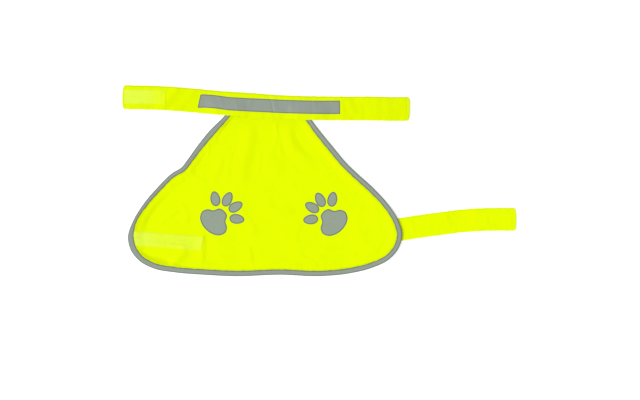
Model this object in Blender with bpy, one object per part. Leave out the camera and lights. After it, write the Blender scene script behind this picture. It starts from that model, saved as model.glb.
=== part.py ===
"""Dog safety vest, laid flat with its outside up.

A bound back panel hangs from a neck band, and a belly strap is sewn under its right flank.
Lengths are millimetres until the last step. The plan has X to the right and Y towards the neck,
from the middle of the neck seam, and Z is the height above the surface that the vest lies on.
The finished model is in metres, with its origin under the middle of its bounding box.
"""
import math

import bpy
import numpy as np
from mathutils import Matrix

MILLIMETRE = 0.001
GAP = 0.3

# Thickness of each cloth
PANEL_THICK = 1.0
BINDING_THICK = 1.0
BAND_THICK = 2.0
STRAP_THICK = 1.6
TRIM_THICK = 1.0

# Widths of the woven tapes and of the straps
BINDING_TAPE = 21.0
BAND_WIDTH = 45.2
STRAP_WIDTH = 43.2
HOOK_WIDTH = 25.0
HOOK_LENGTH = 50.0
HOOK_INSET = 4.0
STRIP_WIDTH = 25.0

# The panel's edge sits in the fold of the binding, above the fold's lower leg
BINDING_SEAT = BINDING_THICK + GAP
BINDING_HEIGHT = 2 * BINDING_THICK + PANEL_THICK + 2 * GAP
BINDING_CHAMFER = 0.8
RIM_FLAT = 18.0
RIM_END = 34.0

# Faces along and across each cloth
PANEL_ROWS = 34
PANEL_COLUMNS = 40
BAND_STEP = 7.0
STRAP_STEP = 10.0
BAND_ACROSS = (0.0, 0.14, 0.32, 0.48, 0.64, 0.82, 1.0)
STRAP_ACROSS = (0.0, 0.5, 1.0)
CURVE_STEPS = 8
STRIP_STATIONS = 24
SHARP_ANGLE = 40

# Outer edge of the bound panel, from the left of the neck round the hem to the right of the neck.
# Columns: X, Y, width of binding that shows, height that the edge is lifted by a fold.
PANEL_EDGE = (
    (-72.5, 14, 8.5, 0.0),
    (-81.6, 3, 8.8, 0.0),
    (-112.2, -28, 11.2, 0.0),
    (-136.6, -59, 9.9, 0.0),
    (-153.7, -83, 9.3, 0.8),
    (-162.9, -95, 9.0, 1.4),
    (-179.4, -105, 8.3, 0.8),
    (-209.6, -134, 8.3, 0.5),
    (-234.8, -164, 7.4, 1.6),
    (-254.0, -195, 6.5, 1.5),
    (-264.6, -229, 10.8, 0.8),
    (-259.0, -252, 11.2, 0.0),
    (-245.2, -270, 10.6, 0.0),
    (-215, -286.7, 10.2, 0.0),
    (-178, -293.5, 10.2, 0.0),
    (-121, -298.2, 10.3, 0.8),
    (-60, -301, 10.3, 0.0),
    (23, -298.2, 10.0, 0.0),
    (98, -300.8, 10.0, 0.6),
    (151, -296.1, 10.0, 0.0),
    (195, -285.6, 9.9, 0.0),
    (229, -268.8, 9.4, 0.0),
    (246.6, -248, 9.4, 0.0),
    (253.6, -223, 9.8, 0.0),
    (246.2, -195, 9.8, 0.0),
    (226.3, -164, 9.5, 0.0),
    (198.8, -134, 10.0, 0.0),
    (165.6, -104, 10.0, 0.5),
    (150, -89, 10.0, 0.8),
    (124.8, -59, 10.2, 0.4),
    (99.5, -28, 10.0, 0.0),
    (82.2, -5, 9.4, 0.0),
    (74.2, 7, 9.2, 0.0),
)
LEFT_CORNER = 12
RIGHT_CORNER = 21

# A swell rises over the first share of its ridge and falls over the last.
SWELL_RISE = 0.3
SWELL_FALL = 0.4

# Largest swells of the loose panel. Columns: start X and Y, middle X and Y, end X and Y,
# half width at the start and at the end, height.
SWELLS = (
    (-29, -6, -44, -70, -60, -142, 18, 26, 3.0),
    (8, -36, 4, -84, -2, -130, 16, 22, 1.5),
    (36, -8, 44, -52, 98, -106, 15, 22, 3.0),
    (-84, -70, -98, -104, -118, -130, 13, 16, 1.6),
    (-236, -236, -190, -240, -138, -246, 10, 13, 2.0),
    (-232, -260, -190, -269, -146, -274, 8, 11, 1.6),
    (-124, -214, -126, -250, -131, -284, 10, 13, 2.0),
    (-104, -246, -92, -264, -66, -280, 12, 15, 1.2),
    (-44, -236, -40, -260, -34, -286, 11, 13, 1.2),
    (38, -262, 74, -268, 116, -270, 12, 15, 1.2),
    (196, -150, 206, -186, 208, -232, 14, 16, 1.4),
)

# Middle line of the neck band and of the belly strap, from left to right. Columns: X, Y.
BAND_LINE = (
    (-275, 37.4),
    (-223, 36.4),
    (-197, 35.4),
    (-147, 31.6),
    (-91, 26.5),
    (-30, 22.5),
    (15, 19.1),
    (60, 17.2),
    (136, 16.1),
    (197, 15.8),
    (240, 14.9),
    (268, 15.2),
)
STRAP_LINE = (
    (219, -218.5),
    (257, -211.6),
    (290, -206.4),
    (325, -201.8),
    (363, -196.8),
    (410, -193.8),
    (469, -193.4),
)
END_ROUND = 3.0
BAND_END_SLANT = 1.8
SLANT_REACH = 25.0

# What lifts the neck band. Columns: X, half length, fade length, height, share of the width
# from its lower edge that is lifted in full.
BAND_LIFTS = (
    (0, 96, 28, PANEL_THICK + GAP, 0.36),
    (-77, 20, 25, BINDING_HEIGHT - PANEL_THICK, 0.36),
    (76, 20, 25, BINDING_HEIGHT - PANEL_THICK, 0.36),
    (238, 42, 30, TRIM_THICK + GAP, 1.0),
    (-180, 0, 10, 1.6, 1.0),
    (-150, 0, 12, 1.2, 1.0),
    (180, 0, 16, 0.9, 1.0),
)
BAND_FALL = 0.5

# How far the cloth over the strap's sewn end stays lifted, and where it has come down
STRAP_COVER = 12.0
STRAP_COVER_END = 48.0
STRAP_HOOK_LIFT = (439, 42, 30, TRIM_THICK + GAP, 1.0)

# A trim is cut from a stretch of cloth this much wider, by a cutter of this reach
TRIM_MARGIN = 12.0
CUTTER_LOW = -5.0
CUTTER_HIGH = 30.0

# Corners of the trims that lie on the cloth. Columns: X, Y.
NECK_LOOP = (
    (-271.5, 25),
    (-193.5, 24),
    (-192.5, 51),
    (-271.5, 52),
)
FLANK_LOOP_RIGHT = (
    (-126.5, -252.5),
    (-121, -225.5),
)
FLANK_LOOP_LEFT_Y = (-216, -243)
FLANK_LOOP_STEPS = 5
STRIP_ENDS = (-130.2, 135.9)
STRIP_DROP = (
    (-130, 0.4),
    (-120, -1.1),
    (-101, -1.4),
    (-72, 0.3),
    (-34, 0.1),
    (-6, -0.9),
    (23, -1.4),
    (98, -1.7),
    (136, -2.2),
)
STRIP_END_LEAN = 2.7

# Paw motif in its own plan, ahead is towards the toes. Half of the pad from the front lobe
# to the heel, and the toes of one side. Columns: across, ahead.
PAD_HALF = (
    (0, 26.5),
    (9.5, 24),
    (15.5, 13.5),
    (25, 7.5),
    (29.5, -2),
    (25.5, -12.5),
    (13, -20.5),
    (0, -22.5),
)
# Columns: across, ahead, half length, half width, lean outwards in degrees.
TOES = (
    (-28, 32, 14.2, 9.2, -54),
    (-10.5, 47, 14.5, 9.2, -17),
    (10.5, 47, 14.5, 9.2, 17),
    (28, 32, 14.2, 9.2, 54),
)
TOE_SIDES = 18
TOE_NARROWING = 0.12
# Columns: name, X, Y, turn of the motif to the right in degrees.
PAWS = (
    ("paw_left", -101, -197, 43),
    ("paw_right", 123, -198, -43),
)

# Colours as linear red, green and blue, then roughness
FINISHES = {
    "hi_vis_cloth": ((0.79, 0.99, 0.002), 0.8),
    "reflective_tape": ((0.30, 0.35, 0.31), 0.45),
    "loop_tape": ((0.79, 0.99, 0.04), 0.95),
    "hook_tape": ((0.70, 0.88, 0.03), 0.6),
}


def smooth_step(start, stop, value):
    """Rises softly from 0 at start to 1 at stop."""
    t = np.clip((value - start) / (stop - start), 0.0, 1.0)
    return t * t * (3 - 2 * t)


def smooth_curve(knots):
    """Cubic curve through rows of numbers; columns after X and Y are carried along."""
    rows = np.array(knots, float)
    spans = np.linalg.norm(np.diff(rows[:, :2], axis=0), axis=1)
    slope = np.gradient(rows, np.concatenate([[0.0], np.cumsum(spans)]), axis=0)
    t = np.linspace(0, 1, CURVE_STEPS, endpoint=False)[:, None]
    parts = []
    for i, span in enumerate(spans):
        part = (2 * t**3 - 3 * t**2 + 1) * rows[i] + (3 * t**2 - 2 * t**3) * rows[i + 1]
        part += (t**3 - 2 * t**2 + t) * span * slope[i] + (t**3 - t**2) * span * slope[i + 1]
        parts.append(part)
    return np.vstack(parts + [rows[-1:]])


def lengths_along(line):
    """Distance of each point of a line from the line's start."""
    return np.concatenate([[0.0], np.cumsum(np.linalg.norm(np.diff(line[:, :2], axis=0), axis=1))])


def read_along(line, distances):
    """Rows of a line at the given distances from its start."""
    along = lengths_along(line)
    return np.column_stack([np.interp(distances, along, column) for column in line.T])


def left_normals(line):
    """Unit vectors to the left of a line's direction."""
    direction = np.gradient(line[:, :2], axis=0)
    direction /= np.linalg.norm(direction, axis=1)[:, None]
    return np.column_stack([-direction[:, 1], direction[:, 0]])


def nearest(points, line):
    """Distance from each point to a line, and how far along the line the nearest place is."""
    start = line[:-1, :2]
    step = np.diff(line[:, :2], axis=0)
    length = np.linalg.norm(step, axis=1)
    reach = points[:, None, :] - start
    share = np.clip((reach * step).sum(2) / length**2, 0, 1)
    distance = np.linalg.norm(reach - share[..., None] * step, axis=2)
    row = np.arange(len(points))
    best = distance.argmin(1)
    along = lengths_along(line)[:-1] + share * length
    return distance[row, best], along[row, best]


def finish(name):
    """Principled material of one of the finishes."""
    made = bpy.data.materials.get(name)
    if made:
        return made
    colour, roughness = FINISHES[name]
    material = bpy.data.materials.new(name)
    material.use_nodes = True
    shader = material.node_tree.nodes["Principled BSDF"]
    shader.inputs["Base Color"].default_value = (*colour, 1.0)
    shader.inputs["Roughness"].default_value = roughness
    shader.inputs["Metallic"].default_value = 0.0
    return material


def new_object(name, points, faces, finish_name):
    """Object with its own mesh, smooth but for its folded and cut edges."""
    mesh = bpy.data.meshes.new(name)
    mesh.from_pydata([tuple(point) for point in points], [], faces)
    mesh.materials.append(finish(finish_name))
    mesh.shade_smooth()
    mesh.set_sharp_from_angle(angle=math.radians(SHARP_ANGLE))
    made = bpy.data.objects.new(name, mesh)
    bpy.context.scene.collection.objects.link(made)
    return made


def wall(name, plan, base, thick, finish_name):
    """Closed cloth wall over a grid, its rows from the neck down and its columns to the right."""
    rows, columns = base.shape
    under = np.dstack([plan, base]).reshape(-1, 3)
    points = np.vstack([under, under + (0, 0, thick)])
    index = np.arange(rows * columns).reshape(rows, columns)
    lifted = rows * columns
    faces = []
    for row in range(rows - 1):
        for column in range(columns - 1):
            a, b = index[row, column], index[row, column + 1]
            d, c = index[row + 1, column], index[row + 1, column + 1]
            faces += [(a + lifted, d + lifted, c + lifted), (a + lifted, c + lifted, b + lifted)]
            faces += [(a, c, d), (a, b, c)]
    rim = list(index[:-1, 0]) + list(index[-1, :-1])
    rim += list(index[:0:-1, -1]) + list(index[0, :0:-1])
    for p, q in zip(rim, rim[1:] + rim[:1]):
        faces.append((p, q, q + lifted, p + lifted))
    return new_object(name, points, [tuple(int(i) for i in face) for face in faces], finish_name)


def prism(name, outline, finish_name):
    """Tall cutter of an outline that runs anticlockwise."""
    count = len(outline)
    low = [(x, y, CUTTER_LOW) for x, y in outline]
    high = [(x, y, CUTTER_HIGH) for x, y in outline]
    faces = [tuple(range(count, 2 * count)), tuple(range(count - 1, -1, -1))]
    for i in range(count):
        j = (i + 1) % count
        faces.append((i, j, j + count, i + count))
    cutter = new_object(name, low + high, faces, finish_name)
    cutter.hide_render = True
    cutter.display_type = "WIRE"
    return cutter


def cut_trim(name, outline, plan, base, finish_name):
    """Trim of the outline's shape that follows the cloth whose upper side is given."""
    outline = np.array(outline, float)
    inside = (plan > outline.min(0) - TRIM_MARGIN) & (plan < outline.max(0) + TRIM_MARGIN)
    inside = inside.all(2)
    rows = np.flatnonzero(inside.any(1))
    columns = np.flatnonzero(inside.any(0))
    window = (
        slice(max(rows[0] - 1, 0), rows[-1] + 2),
        slice(max(columns[0] - 1, 0), columns[-1] + 2),
    )
    trim = wall(name, plan[window], base[window] + GAP, TRIM_THICK, finish_name)
    cut = trim.modifiers.new("outline", "BOOLEAN")
    cut.operation = "INTERSECT"
    cut.solver = "EXACT"
    cut.object = prism(name + "_outline", outline, finish_name)
    return trim


def strip_plan(line, start, stop, width, step, across, slant=0.0):
    """Grid over a straight-cut strip with rounded corners, along a stretch of its middle line."""
    near = np.array([0.0, 0.3, 1.0]) * END_ROUND
    count = max(int((stop - start - 2 * END_ROUND) / step), 1)
    inner = np.linspace(start + END_ROUND, stop - END_ROUND, count + 1)[1:-1]
    at = np.concatenate([start + near, inner, stop - near[::-1]])
    centre = read_along(line, at)
    # The normals come from a smooth stretch of the line, so close stations don't turn.
    ahead = read_along(line, at + step) - read_along(line, at - step)
    ahead /= np.linalg.norm(ahead, axis=1)[:, None]
    side = np.column_stack([-ahead[:, 1], ahead[:, 0]])
    to_end = np.clip(np.minimum(at - start, stop - at), 0, END_ROUND)
    half = width / 2 - END_ROUND + np.sqrt(END_ROUND**2 - (END_ROUND - to_end)**2)
    offset = 1 - 2 * np.array(across)[:, None]
    plan = centre + (offset * half)[..., None] * side
    leaning = slant * offset / 2 * (1 - smooth_step(0, SLANT_REACH, stop - at))
    plan[..., 0] += leaning
    return plan


def lifted_height(plan, lifts, across):
    """Height of a strip's underside over what lies beneath it."""
    base = np.zeros(plan.shape[:2])
    from_lower_edge = 1 - np.array(across)[:, None]
    for middle, half, fade, height, share in lifts:
        along = 1 - smooth_step(half, half + fade, np.abs(plan[..., 0] - middle))
        down = 1 - smooth_step(share, share + BAND_FALL, from_lower_edge)
        base += height * along * down
    return base


def panel_stations(edge):
    """Distances along the edge of its left side, hem and right side, each from its first end."""
    along = lengths_along(edge)
    left_corner = along[LEFT_CORNER * CURVE_STEPS]
    right_corner = along[RIGHT_CORNER * CURVE_STEPS]
    left = np.linspace(0, left_corner, PANEL_ROWS + 1)
    hem = np.linspace(left_corner, right_corner, PANEL_COLUMNS + 1)
    right = np.linspace(along[-1], right_corner, PANEL_ROWS + 1)
    return left, hem, right


def panel_plan(edge, stations):
    """Grid that blends the neck edge, the two sides and the hem into one another."""
    inset = edge[:, :2] + left_normals(edge) * (BINDING_THICK + GAP)
    along = lengths_along(edge)
    sides = []
    for distances in stations:
        columns = [np.interp(distances, along, column) for column in inset.T]
        sides.append(np.column_stack(columns))
    left, hem, right = sides
    u = np.linspace(0, 1, PANEL_COLUMNS + 1)[None, :, None]
    v = np.linspace(0, 1, PANEL_ROWS + 1)[:, None, None]
    neck = left[0] + u * (right[0] - left[0])
    ruled = (1 - v) * neck + v * hem[None] + (1 - u) * left[:, None] + u * right[:, None]
    corners = (1 - v) * neck + v * (hem[0] + u * (hem[-1] - hem[0]))
    return ruled - corners


def strap_lift(points, strap_line):
    """How far the strap's sewn end lifts the cloth over it."""
    distance, _ = nearest(points, strap_line)
    fall = smooth_step(STRAP_COVER, STRAP_COVER_END, distance - STRAP_WIDTH / 2)
    return (STRAP_THICK + GAP) * (1 - fall)


def swell_height(points):
    """Height of the loose cloth's swells."""
    height = np.zeros(len(points))
    for x0, y0, x1, y1, x2, y2, half_start, half_end, rise in SWELLS:
        ridge = smooth_curve([(x0, y0), (x1, y1), (x2, y2)])
        distance, along = nearest(points, ridge)
        share = along / lengths_along(ridge)[-1]
        half = half_start + (half_end - half_start) * share
        envelope = smooth_step(0, SWELL_RISE, share) * (1 - smooth_step(1 - SWELL_FALL, 1, share))
        height += rise * envelope * (1 + np.cos(math.pi * np.clip(distance / half, 0, 1))) / 2
    return height


def panel_height(plan, edge, strap_line):
    """Height of the panel's underside over the surface."""
    points = plan.reshape(-1, 2)
    distance, along = nearest(points, edge)
    beside = read_along(edge, along)
    edge_lift = beside[:, 3] + strap_lift(beside[:, :2], strap_line)
    rim = 1 - smooth_step(RIM_FLAT, RIM_END, distance)
    height = rim * (BINDING_SEAT + edge_lift)
    height += (1 - rim) * (strap_lift(points, strap_line) + swell_height(points))
    return height.reshape(plan.shape[:2])


def make_binding(edge, stations, strap_line):
    """Tape folded over the panel's edge, as a C section swept along it."""
    left, hem, right = stations
    at = np.concatenate([left, hem[1:-1], right[::-1]])
    rows = read_along(edge, at)
    normals = read_along(np.column_stack([edge[:, :2], left_normals(edge)]), at)[:, 2:]
    normals /= np.linalg.norm(normals, axis=1)[:, None]
    lift = rows[:, 3] + strap_lift(rows[:, :2], strap_line)
    thick, chamfer, height = BINDING_THICK, BINDING_CHAMFER, BINDING_HEIGHT
    points = []
    for row, normal, rise in zip(rows, normals, lift):
        over = row[2]
        under = BINDING_TAPE - over
        section = (
            (under, 0),
            (chamfer, 0),
            (0, chamfer),
            (0, height - chamfer),
            (chamfer, height),
            (over, height),
            (over, height - thick),
            (thick, height - thick),
            (thick, thick),
            (under, thick),
        )
        for inward, up in section:
            points.append((*(row[:2] + normal * inward), up + rise))
    sides = len(section)
    faces = [tuple(range(sides)), tuple(range(len(points) - 1, len(points) - sides - 1, -1))]
    for station in range(len(rows) - 1):
        first = station * sides
        for i in range(sides):
            j = (i + 1) % sides
            faces.append((first + j, first + i, first + sides + i, first + sides + j))
    return new_object("edge_binding", points, faces, "reflective_tape")


def flank_loop_outline(edge):
    """The flank's loop tape, from its right end to the binding's inner edge."""
    inner = edge[:, :2] + left_normals(edge) * (edge[:, 2:3] + 2 * GAP)
    side = inner[:LEFT_CORNER * CURVE_STEPS][::-1]
    top, bottom = FLANK_LOOP_LEFT_Y
    heights = np.linspace(top, bottom, FLANK_LOOP_STEPS)
    left = [(np.interp(y, side[:, 1], side[:, 0]), y) for y in heights]
    return left + list(FLANK_LOOP_RIGHT)


def neck_strip_outline(band_line):
    """The reflective strip on the neck band, a little below the band's middle."""
    drop = np.array(STRIP_DROP, float)
    middle = np.linspace(STRIP_ENDS[0], STRIP_ENDS[1], STRIP_STATIONS)
    y = np.interp(middle, band_line[:, 0], band_line[:, 1]) - np.interp(middle, *drop.T)
    half = STRIP_WIDTH / 2
    lower = np.column_stack([middle, y - half])
    upper = np.column_stack([middle, y + half])
    lower[0, 0] -= STRIP_END_LEAN
    upper[0, 0] += STRIP_END_LEAN
    return np.vstack([lower, upper[::-1]])


def placed(points, x, y, turn):
    """Plan points turned to the right by an angle in degrees, then moved."""
    angle = math.radians(-turn)
    rotation = np.array([[math.cos(angle), -math.sin(angle)], [math.sin(angle), math.cos(angle)]])
    return np.array(points, float) @ rotation.T + (x, y)


def pad_outline():
    """Whole pad, anticlockwise, from the half outline and its mirror image."""
    half = np.array(PAD_HALF, float)
    whole = np.vstack([half, half[-2:0:-1] * (-1, 1), half[:1]])
    # Repeating the first and last spans lets the curve close without a corner.
    wrapped = np.vstack([whole[-3:-1], whole, whole[1:3]])
    smooth = smooth_curve(wrapped)[2 * CURVE_STEPS:-2 * CURVE_STEPS - 1:2]
    return smooth[::-1]


def toe_outline(across, ahead, half_length, half_width, lean):
    """Egg-shaped toe, narrower at its far end."""
    turns = np.linspace(0, 2 * math.pi, TOE_SIDES, endpoint=False)
    narrowing = 1 - TOE_NARROWING * np.sin(turns)
    egg = np.column_stack([half_width * np.cos(turns) * narrowing, half_length * np.sin(turns)])
    return placed(egg, across, ahead, lean)


def make_paws(plan, top):
    """Both paw motifs, each a pad and four toes."""
    for name, x, y, turn in PAWS:
        outline = placed(pad_outline(), x, y, turn)
        cut_trim(name + "_pad", outline, plan, top, "reflective_tape")
        for number, toe in enumerate(TOES, 1):
            outline = placed(toe_outline(*toe), x, y, turn)
            cut_trim(f"{name}_toe_{number}", outline, plan, top, "reflective_tape")


def make_hook_tape(name, line, end_inset):
    """Hook tape that lies under the last stretch of a strip."""
    stop = lengths_along(line)[-1] - end_inset
    plan = strip_plan(line, stop - HOOK_LENGTH, stop, HOOK_WIDTH, STRAP_STEP, STRAP_ACROSS)
    wall(name, plan, np.zeros(plan.shape[:2]), TRIM_THICK, "hook_tape")


def make_panel_pieces(strap_line):
    """Back panel, its binding, the paws and the flank's loop tape."""
    edge = smooth_curve(PANEL_EDGE)
    edge[:, 3] = np.maximum(edge[:, 3], 0)
    stations = panel_stations(edge)
    plan = panel_plan(edge, stations)
    base = panel_height(plan, edge, strap_line)
    top = base + PANEL_THICK
    wall("back_panel", plan, base, PANEL_THICK, "hi_vis_cloth")
    make_binding(edge, stations, strap_line)
    cut_trim("flank_loop_tape", flank_loop_outline(edge), plan, top, "loop_tape")
    make_paws(plan, top)


def make_neck_pieces():
    """Neck band with its strip, its loop tape and the hook tape under its end."""
    line = smooth_curve(BAND_LINE)
    length = lengths_along(line)[-1]
    plan = strip_plan(line, 0, length, BAND_WIDTH, BAND_STEP, BAND_ACROSS, BAND_END_SLANT)
    base = lifted_height(plan, BAND_LIFTS, BAND_ACROSS)
    top = base + BAND_THICK
    wall("neck_band", plan, base, BAND_THICK, "hi_vis_cloth")
    cut_trim("neck_reflective_strip", neck_strip_outline(line), plan, top, "reflective_tape")
    cut_trim("neck_loop_tape", NECK_LOOP, plan, top, "loop_tape")
    make_hook_tape("neck_hook_tape", line, HOOK_INSET + BAND_END_SLANT)


def make_belly_strap(line):
    """Belly strap and the hook tape under its end."""
    length = lengths_along(line)[-1]
    plan = strip_plan(line, 0, length, STRAP_WIDTH, STRAP_STEP, STRAP_ACROSS)
    base = lifted_height(plan, [STRAP_HOOK_LIFT], STRAP_ACROSS)
    wall("belly_strap", plan, base, STRAP_THICK, "hi_vis_cloth")
    make_hook_tape("belly_hook_tape", line, HOOK_INSET)


def centre_in_metres():
    """Moves the vest over its origin and turns millimetres into metres."""
    meshes = [made.data for made in bpy.context.scene.objects if not made.hide_render]
    points = np.vstack([[tuple(v.co) for v in mesh.vertices] for mesh in meshes])
    x, y, _ = (points.min(0) + points.max(0)) / 2
    move = Matrix.Scale(MILLIMETRE, 4) @ Matrix.Translation((-x, -y, 0))
    for made in bpy.context.scene.objects:
        made.data.transform(move)


def main():
    """Clears the scene and makes the vest."""
    for old in list(bpy.data.objects):
        bpy.data.objects.remove(old)
    strap_line = smooth_curve(STRAP_LINE)
    make_panel_pieces(strap_line)
    make_neck_pieces()
    make_belly_strap(strap_line)
    centre_in_metres()


main()
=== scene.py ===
"""Looks of the dog safety vest, which lies flat with its outside up.

Every cloth, tape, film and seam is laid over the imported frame. Lengths in the tables are
millimetres in the plan of the cut: X to the right and Y towards the neck, from the middle of
the neck seam. Heights are over the surface that the vest lies on.
"""
import math
from collections import namedtuple
from functools import partial

import bpy
import numpy as np
from bpy.props import FloatProperty, FloatVectorProperty, PointerProperty
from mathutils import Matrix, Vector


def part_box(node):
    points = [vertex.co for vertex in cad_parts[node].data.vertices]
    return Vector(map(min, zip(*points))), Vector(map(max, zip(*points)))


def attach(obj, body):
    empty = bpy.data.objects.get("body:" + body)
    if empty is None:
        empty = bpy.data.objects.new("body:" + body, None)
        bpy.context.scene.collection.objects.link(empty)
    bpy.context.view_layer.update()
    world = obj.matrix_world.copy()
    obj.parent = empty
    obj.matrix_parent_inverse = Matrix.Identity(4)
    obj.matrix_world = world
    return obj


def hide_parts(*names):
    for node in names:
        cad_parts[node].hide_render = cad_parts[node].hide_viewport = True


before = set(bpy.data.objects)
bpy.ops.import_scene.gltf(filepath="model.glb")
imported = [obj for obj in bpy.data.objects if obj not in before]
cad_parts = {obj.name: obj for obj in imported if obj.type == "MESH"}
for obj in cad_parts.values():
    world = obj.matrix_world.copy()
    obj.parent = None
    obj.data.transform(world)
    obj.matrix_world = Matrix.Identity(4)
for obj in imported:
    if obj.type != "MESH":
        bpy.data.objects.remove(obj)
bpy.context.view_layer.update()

bl_info = {
    "name": "Dog safety vest",
    "version": (1, 0, 0),
    "blender": (4, 5, 0),
    "location": "3D View > Sidebar > Vest",
    "description": "Dresses the frame of a flat dog safety vest in cloth, tapes and stitches",
    "category": "Object",
}

MILLIMETRE = 0.001

# The middle of the neck seam in the frame, and how near the band's end has to be to its place
NECK_SEAM = (-96.845, 120.524)
SEAM_TOLERANCE = 1.5

# The frame's walls and gaps
GAP = 0.3
BINDING_WALL = 1.0
STRAP_WALL = 1.6
TRIM_WALL = 1.0
BINDING_SEAT = BINDING_WALL + GAP
RIM_FLAT = 12.0
RIM_END = 30.0

# How far the middle of each soft cloth lies over the underside of its solid
PANEL_MIDDLE = 0.4
BAND_MIDDLE = 0.75
STRAP_MIDDLE = 0.65
BINDING_LOW = 0.35
BINDING_HIGH = 2.4
LEAST_HEIGHT = 0.1

# Widths of the tapes and straps
BINDING_TAPE = 21.0
BAND_WIDTH = 45.2
STRAP_WIDTH = 43.2
STRIP_WIDTH = 25.0
HOOK_WIDTH = 25.0
HOOK_LENGTH = 50.0
HOOK_INSET = 4.0

# Faces along and across each cloth
PANEL_ROWS = 150
PANEL_COLUMNS = 200
BINDING_STEP = 3.0
STRAP_STEP = 2.6
TAPE_STEP = 2.2
STRIP_STEP = 1.1
CURVE_STEPS = 8
SMOOTH_ANGLE = math.radians(45)
SIDE_REACH = 10
TOUCHING = 1e-5

# Where the first faces of a grid end: shares of the way to the seam, and of a rounded corner
SEAM_STATIONS = (0, 0.5, 1.0, 1.5, 2.4)
END_STATIONS = (0.0, 0.04, 0.15, 0.35, 0.65, 1.0)

# How much of a sheet's thickness its rims are rounded by
FOLD_ROUNDING = 0.42
TAPE_ROUNDING = 0.3

# Outer edge of the bound panel, from the left of the neck round the hem to the right of the neck.
# Columns: X, Y, width of binding that shows, height that the edge is lifted by a fold.
PANEL_EDGE = (
    (-72.5, 14, 8.5, 0.0),
    (-81.6, 3, 8.8, 0.0),
    (-112.2, -28, 11.2, 0.0),
    (-136.6, -59, 9.9, 0.0),
    (-153.7, -83, 9.3, 0.8),
    (-162.9, -95, 9.0, 1.4),
    (-179.4, -105, 8.3, 0.8),
    (-209.6, -134, 8.3, 0.5),
    (-234.8, -164, 7.4, 1.6),
    (-254.0, -195, 6.5, 1.5),
    (-264.6, -229, 10.8, 0.8),
    (-259.0, -252, 11.2, 0.0),
    (-245.2, -270, 10.6, 0.0),
    (-215, -286.7, 10.2, 0.0),
    (-178, -293.5, 10.2, 0.0),
    (-121, -298.2, 10.3, 0.8),
    (-60, -301, 10.3, 0.0),
    (23, -298.2, 10.0, 0.0),
    (98, -300.8, 10.0, 0.6),
    (151, -296.1, 10.0, 0.0),
    (195, -285.6, 9.9, 0.0),
    (229, -268.8, 9.4, 0.0),
    (246.6, -248, 9.4, 0.0),
    (253.6, -223, 9.8, 0.0),
    (246.2, -195, 9.8, 0.0),
    (226.3, -164, 9.5, 0.0),
    (198.8, -134, 10.0, 0.0),
    (165.6, -104, 10.0, 0.5),
    (150, -89, 10.0, 0.8),
    (124.8, -59, 10.2, 0.4),
    (99.5, -28, 10.0, 0.0),
    (82.2, -5, 9.4, 0.0),
    (74.2, 7, 9.2, 0.0),
)
LEFT_CORNER = 12
RIGHT_CORNER = 21

# Largest swells of the loose panel, as in the frame. Columns: start X and Y, middle X and Y,
# end X and Y, half width at the start and at the end, height.
SWELLS = (
    (-29, -6, -44, -70, -60, -142, 18, 26, 3.0),
    (8, -36, 4, -84, -2, -130, 16, 22, 1.5),
    (36, -8, 44, -52, 98, -106, 15, 22, 3.0),
    (-84, -70, -98, -104, -118, -130, 13, 16, 1.6),
    (-236, -236, -190, -240, -138, -246, 10, 13, 2.0),
    (-232, -260, -190, -269, -146, -274, 8, 11, 1.6),
    (-124, -214, -126, -250, -131, -284, 10, 13, 2.0),
    (-104, -246, -92, -264, -66, -280, 12, 15, 1.2),
    (-44, -236, -40, -260, -34, -286, 11, 13, 1.2),
    (38, -262, 74, -268, 116, -270, 12, 15, 1.2),
    (196, -150, 206, -186, 208, -232, 14, 16, 1.4),
)
SWELL_ENDS = (0.3, 0.4)
SWELL_SHARE = 0.6

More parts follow.
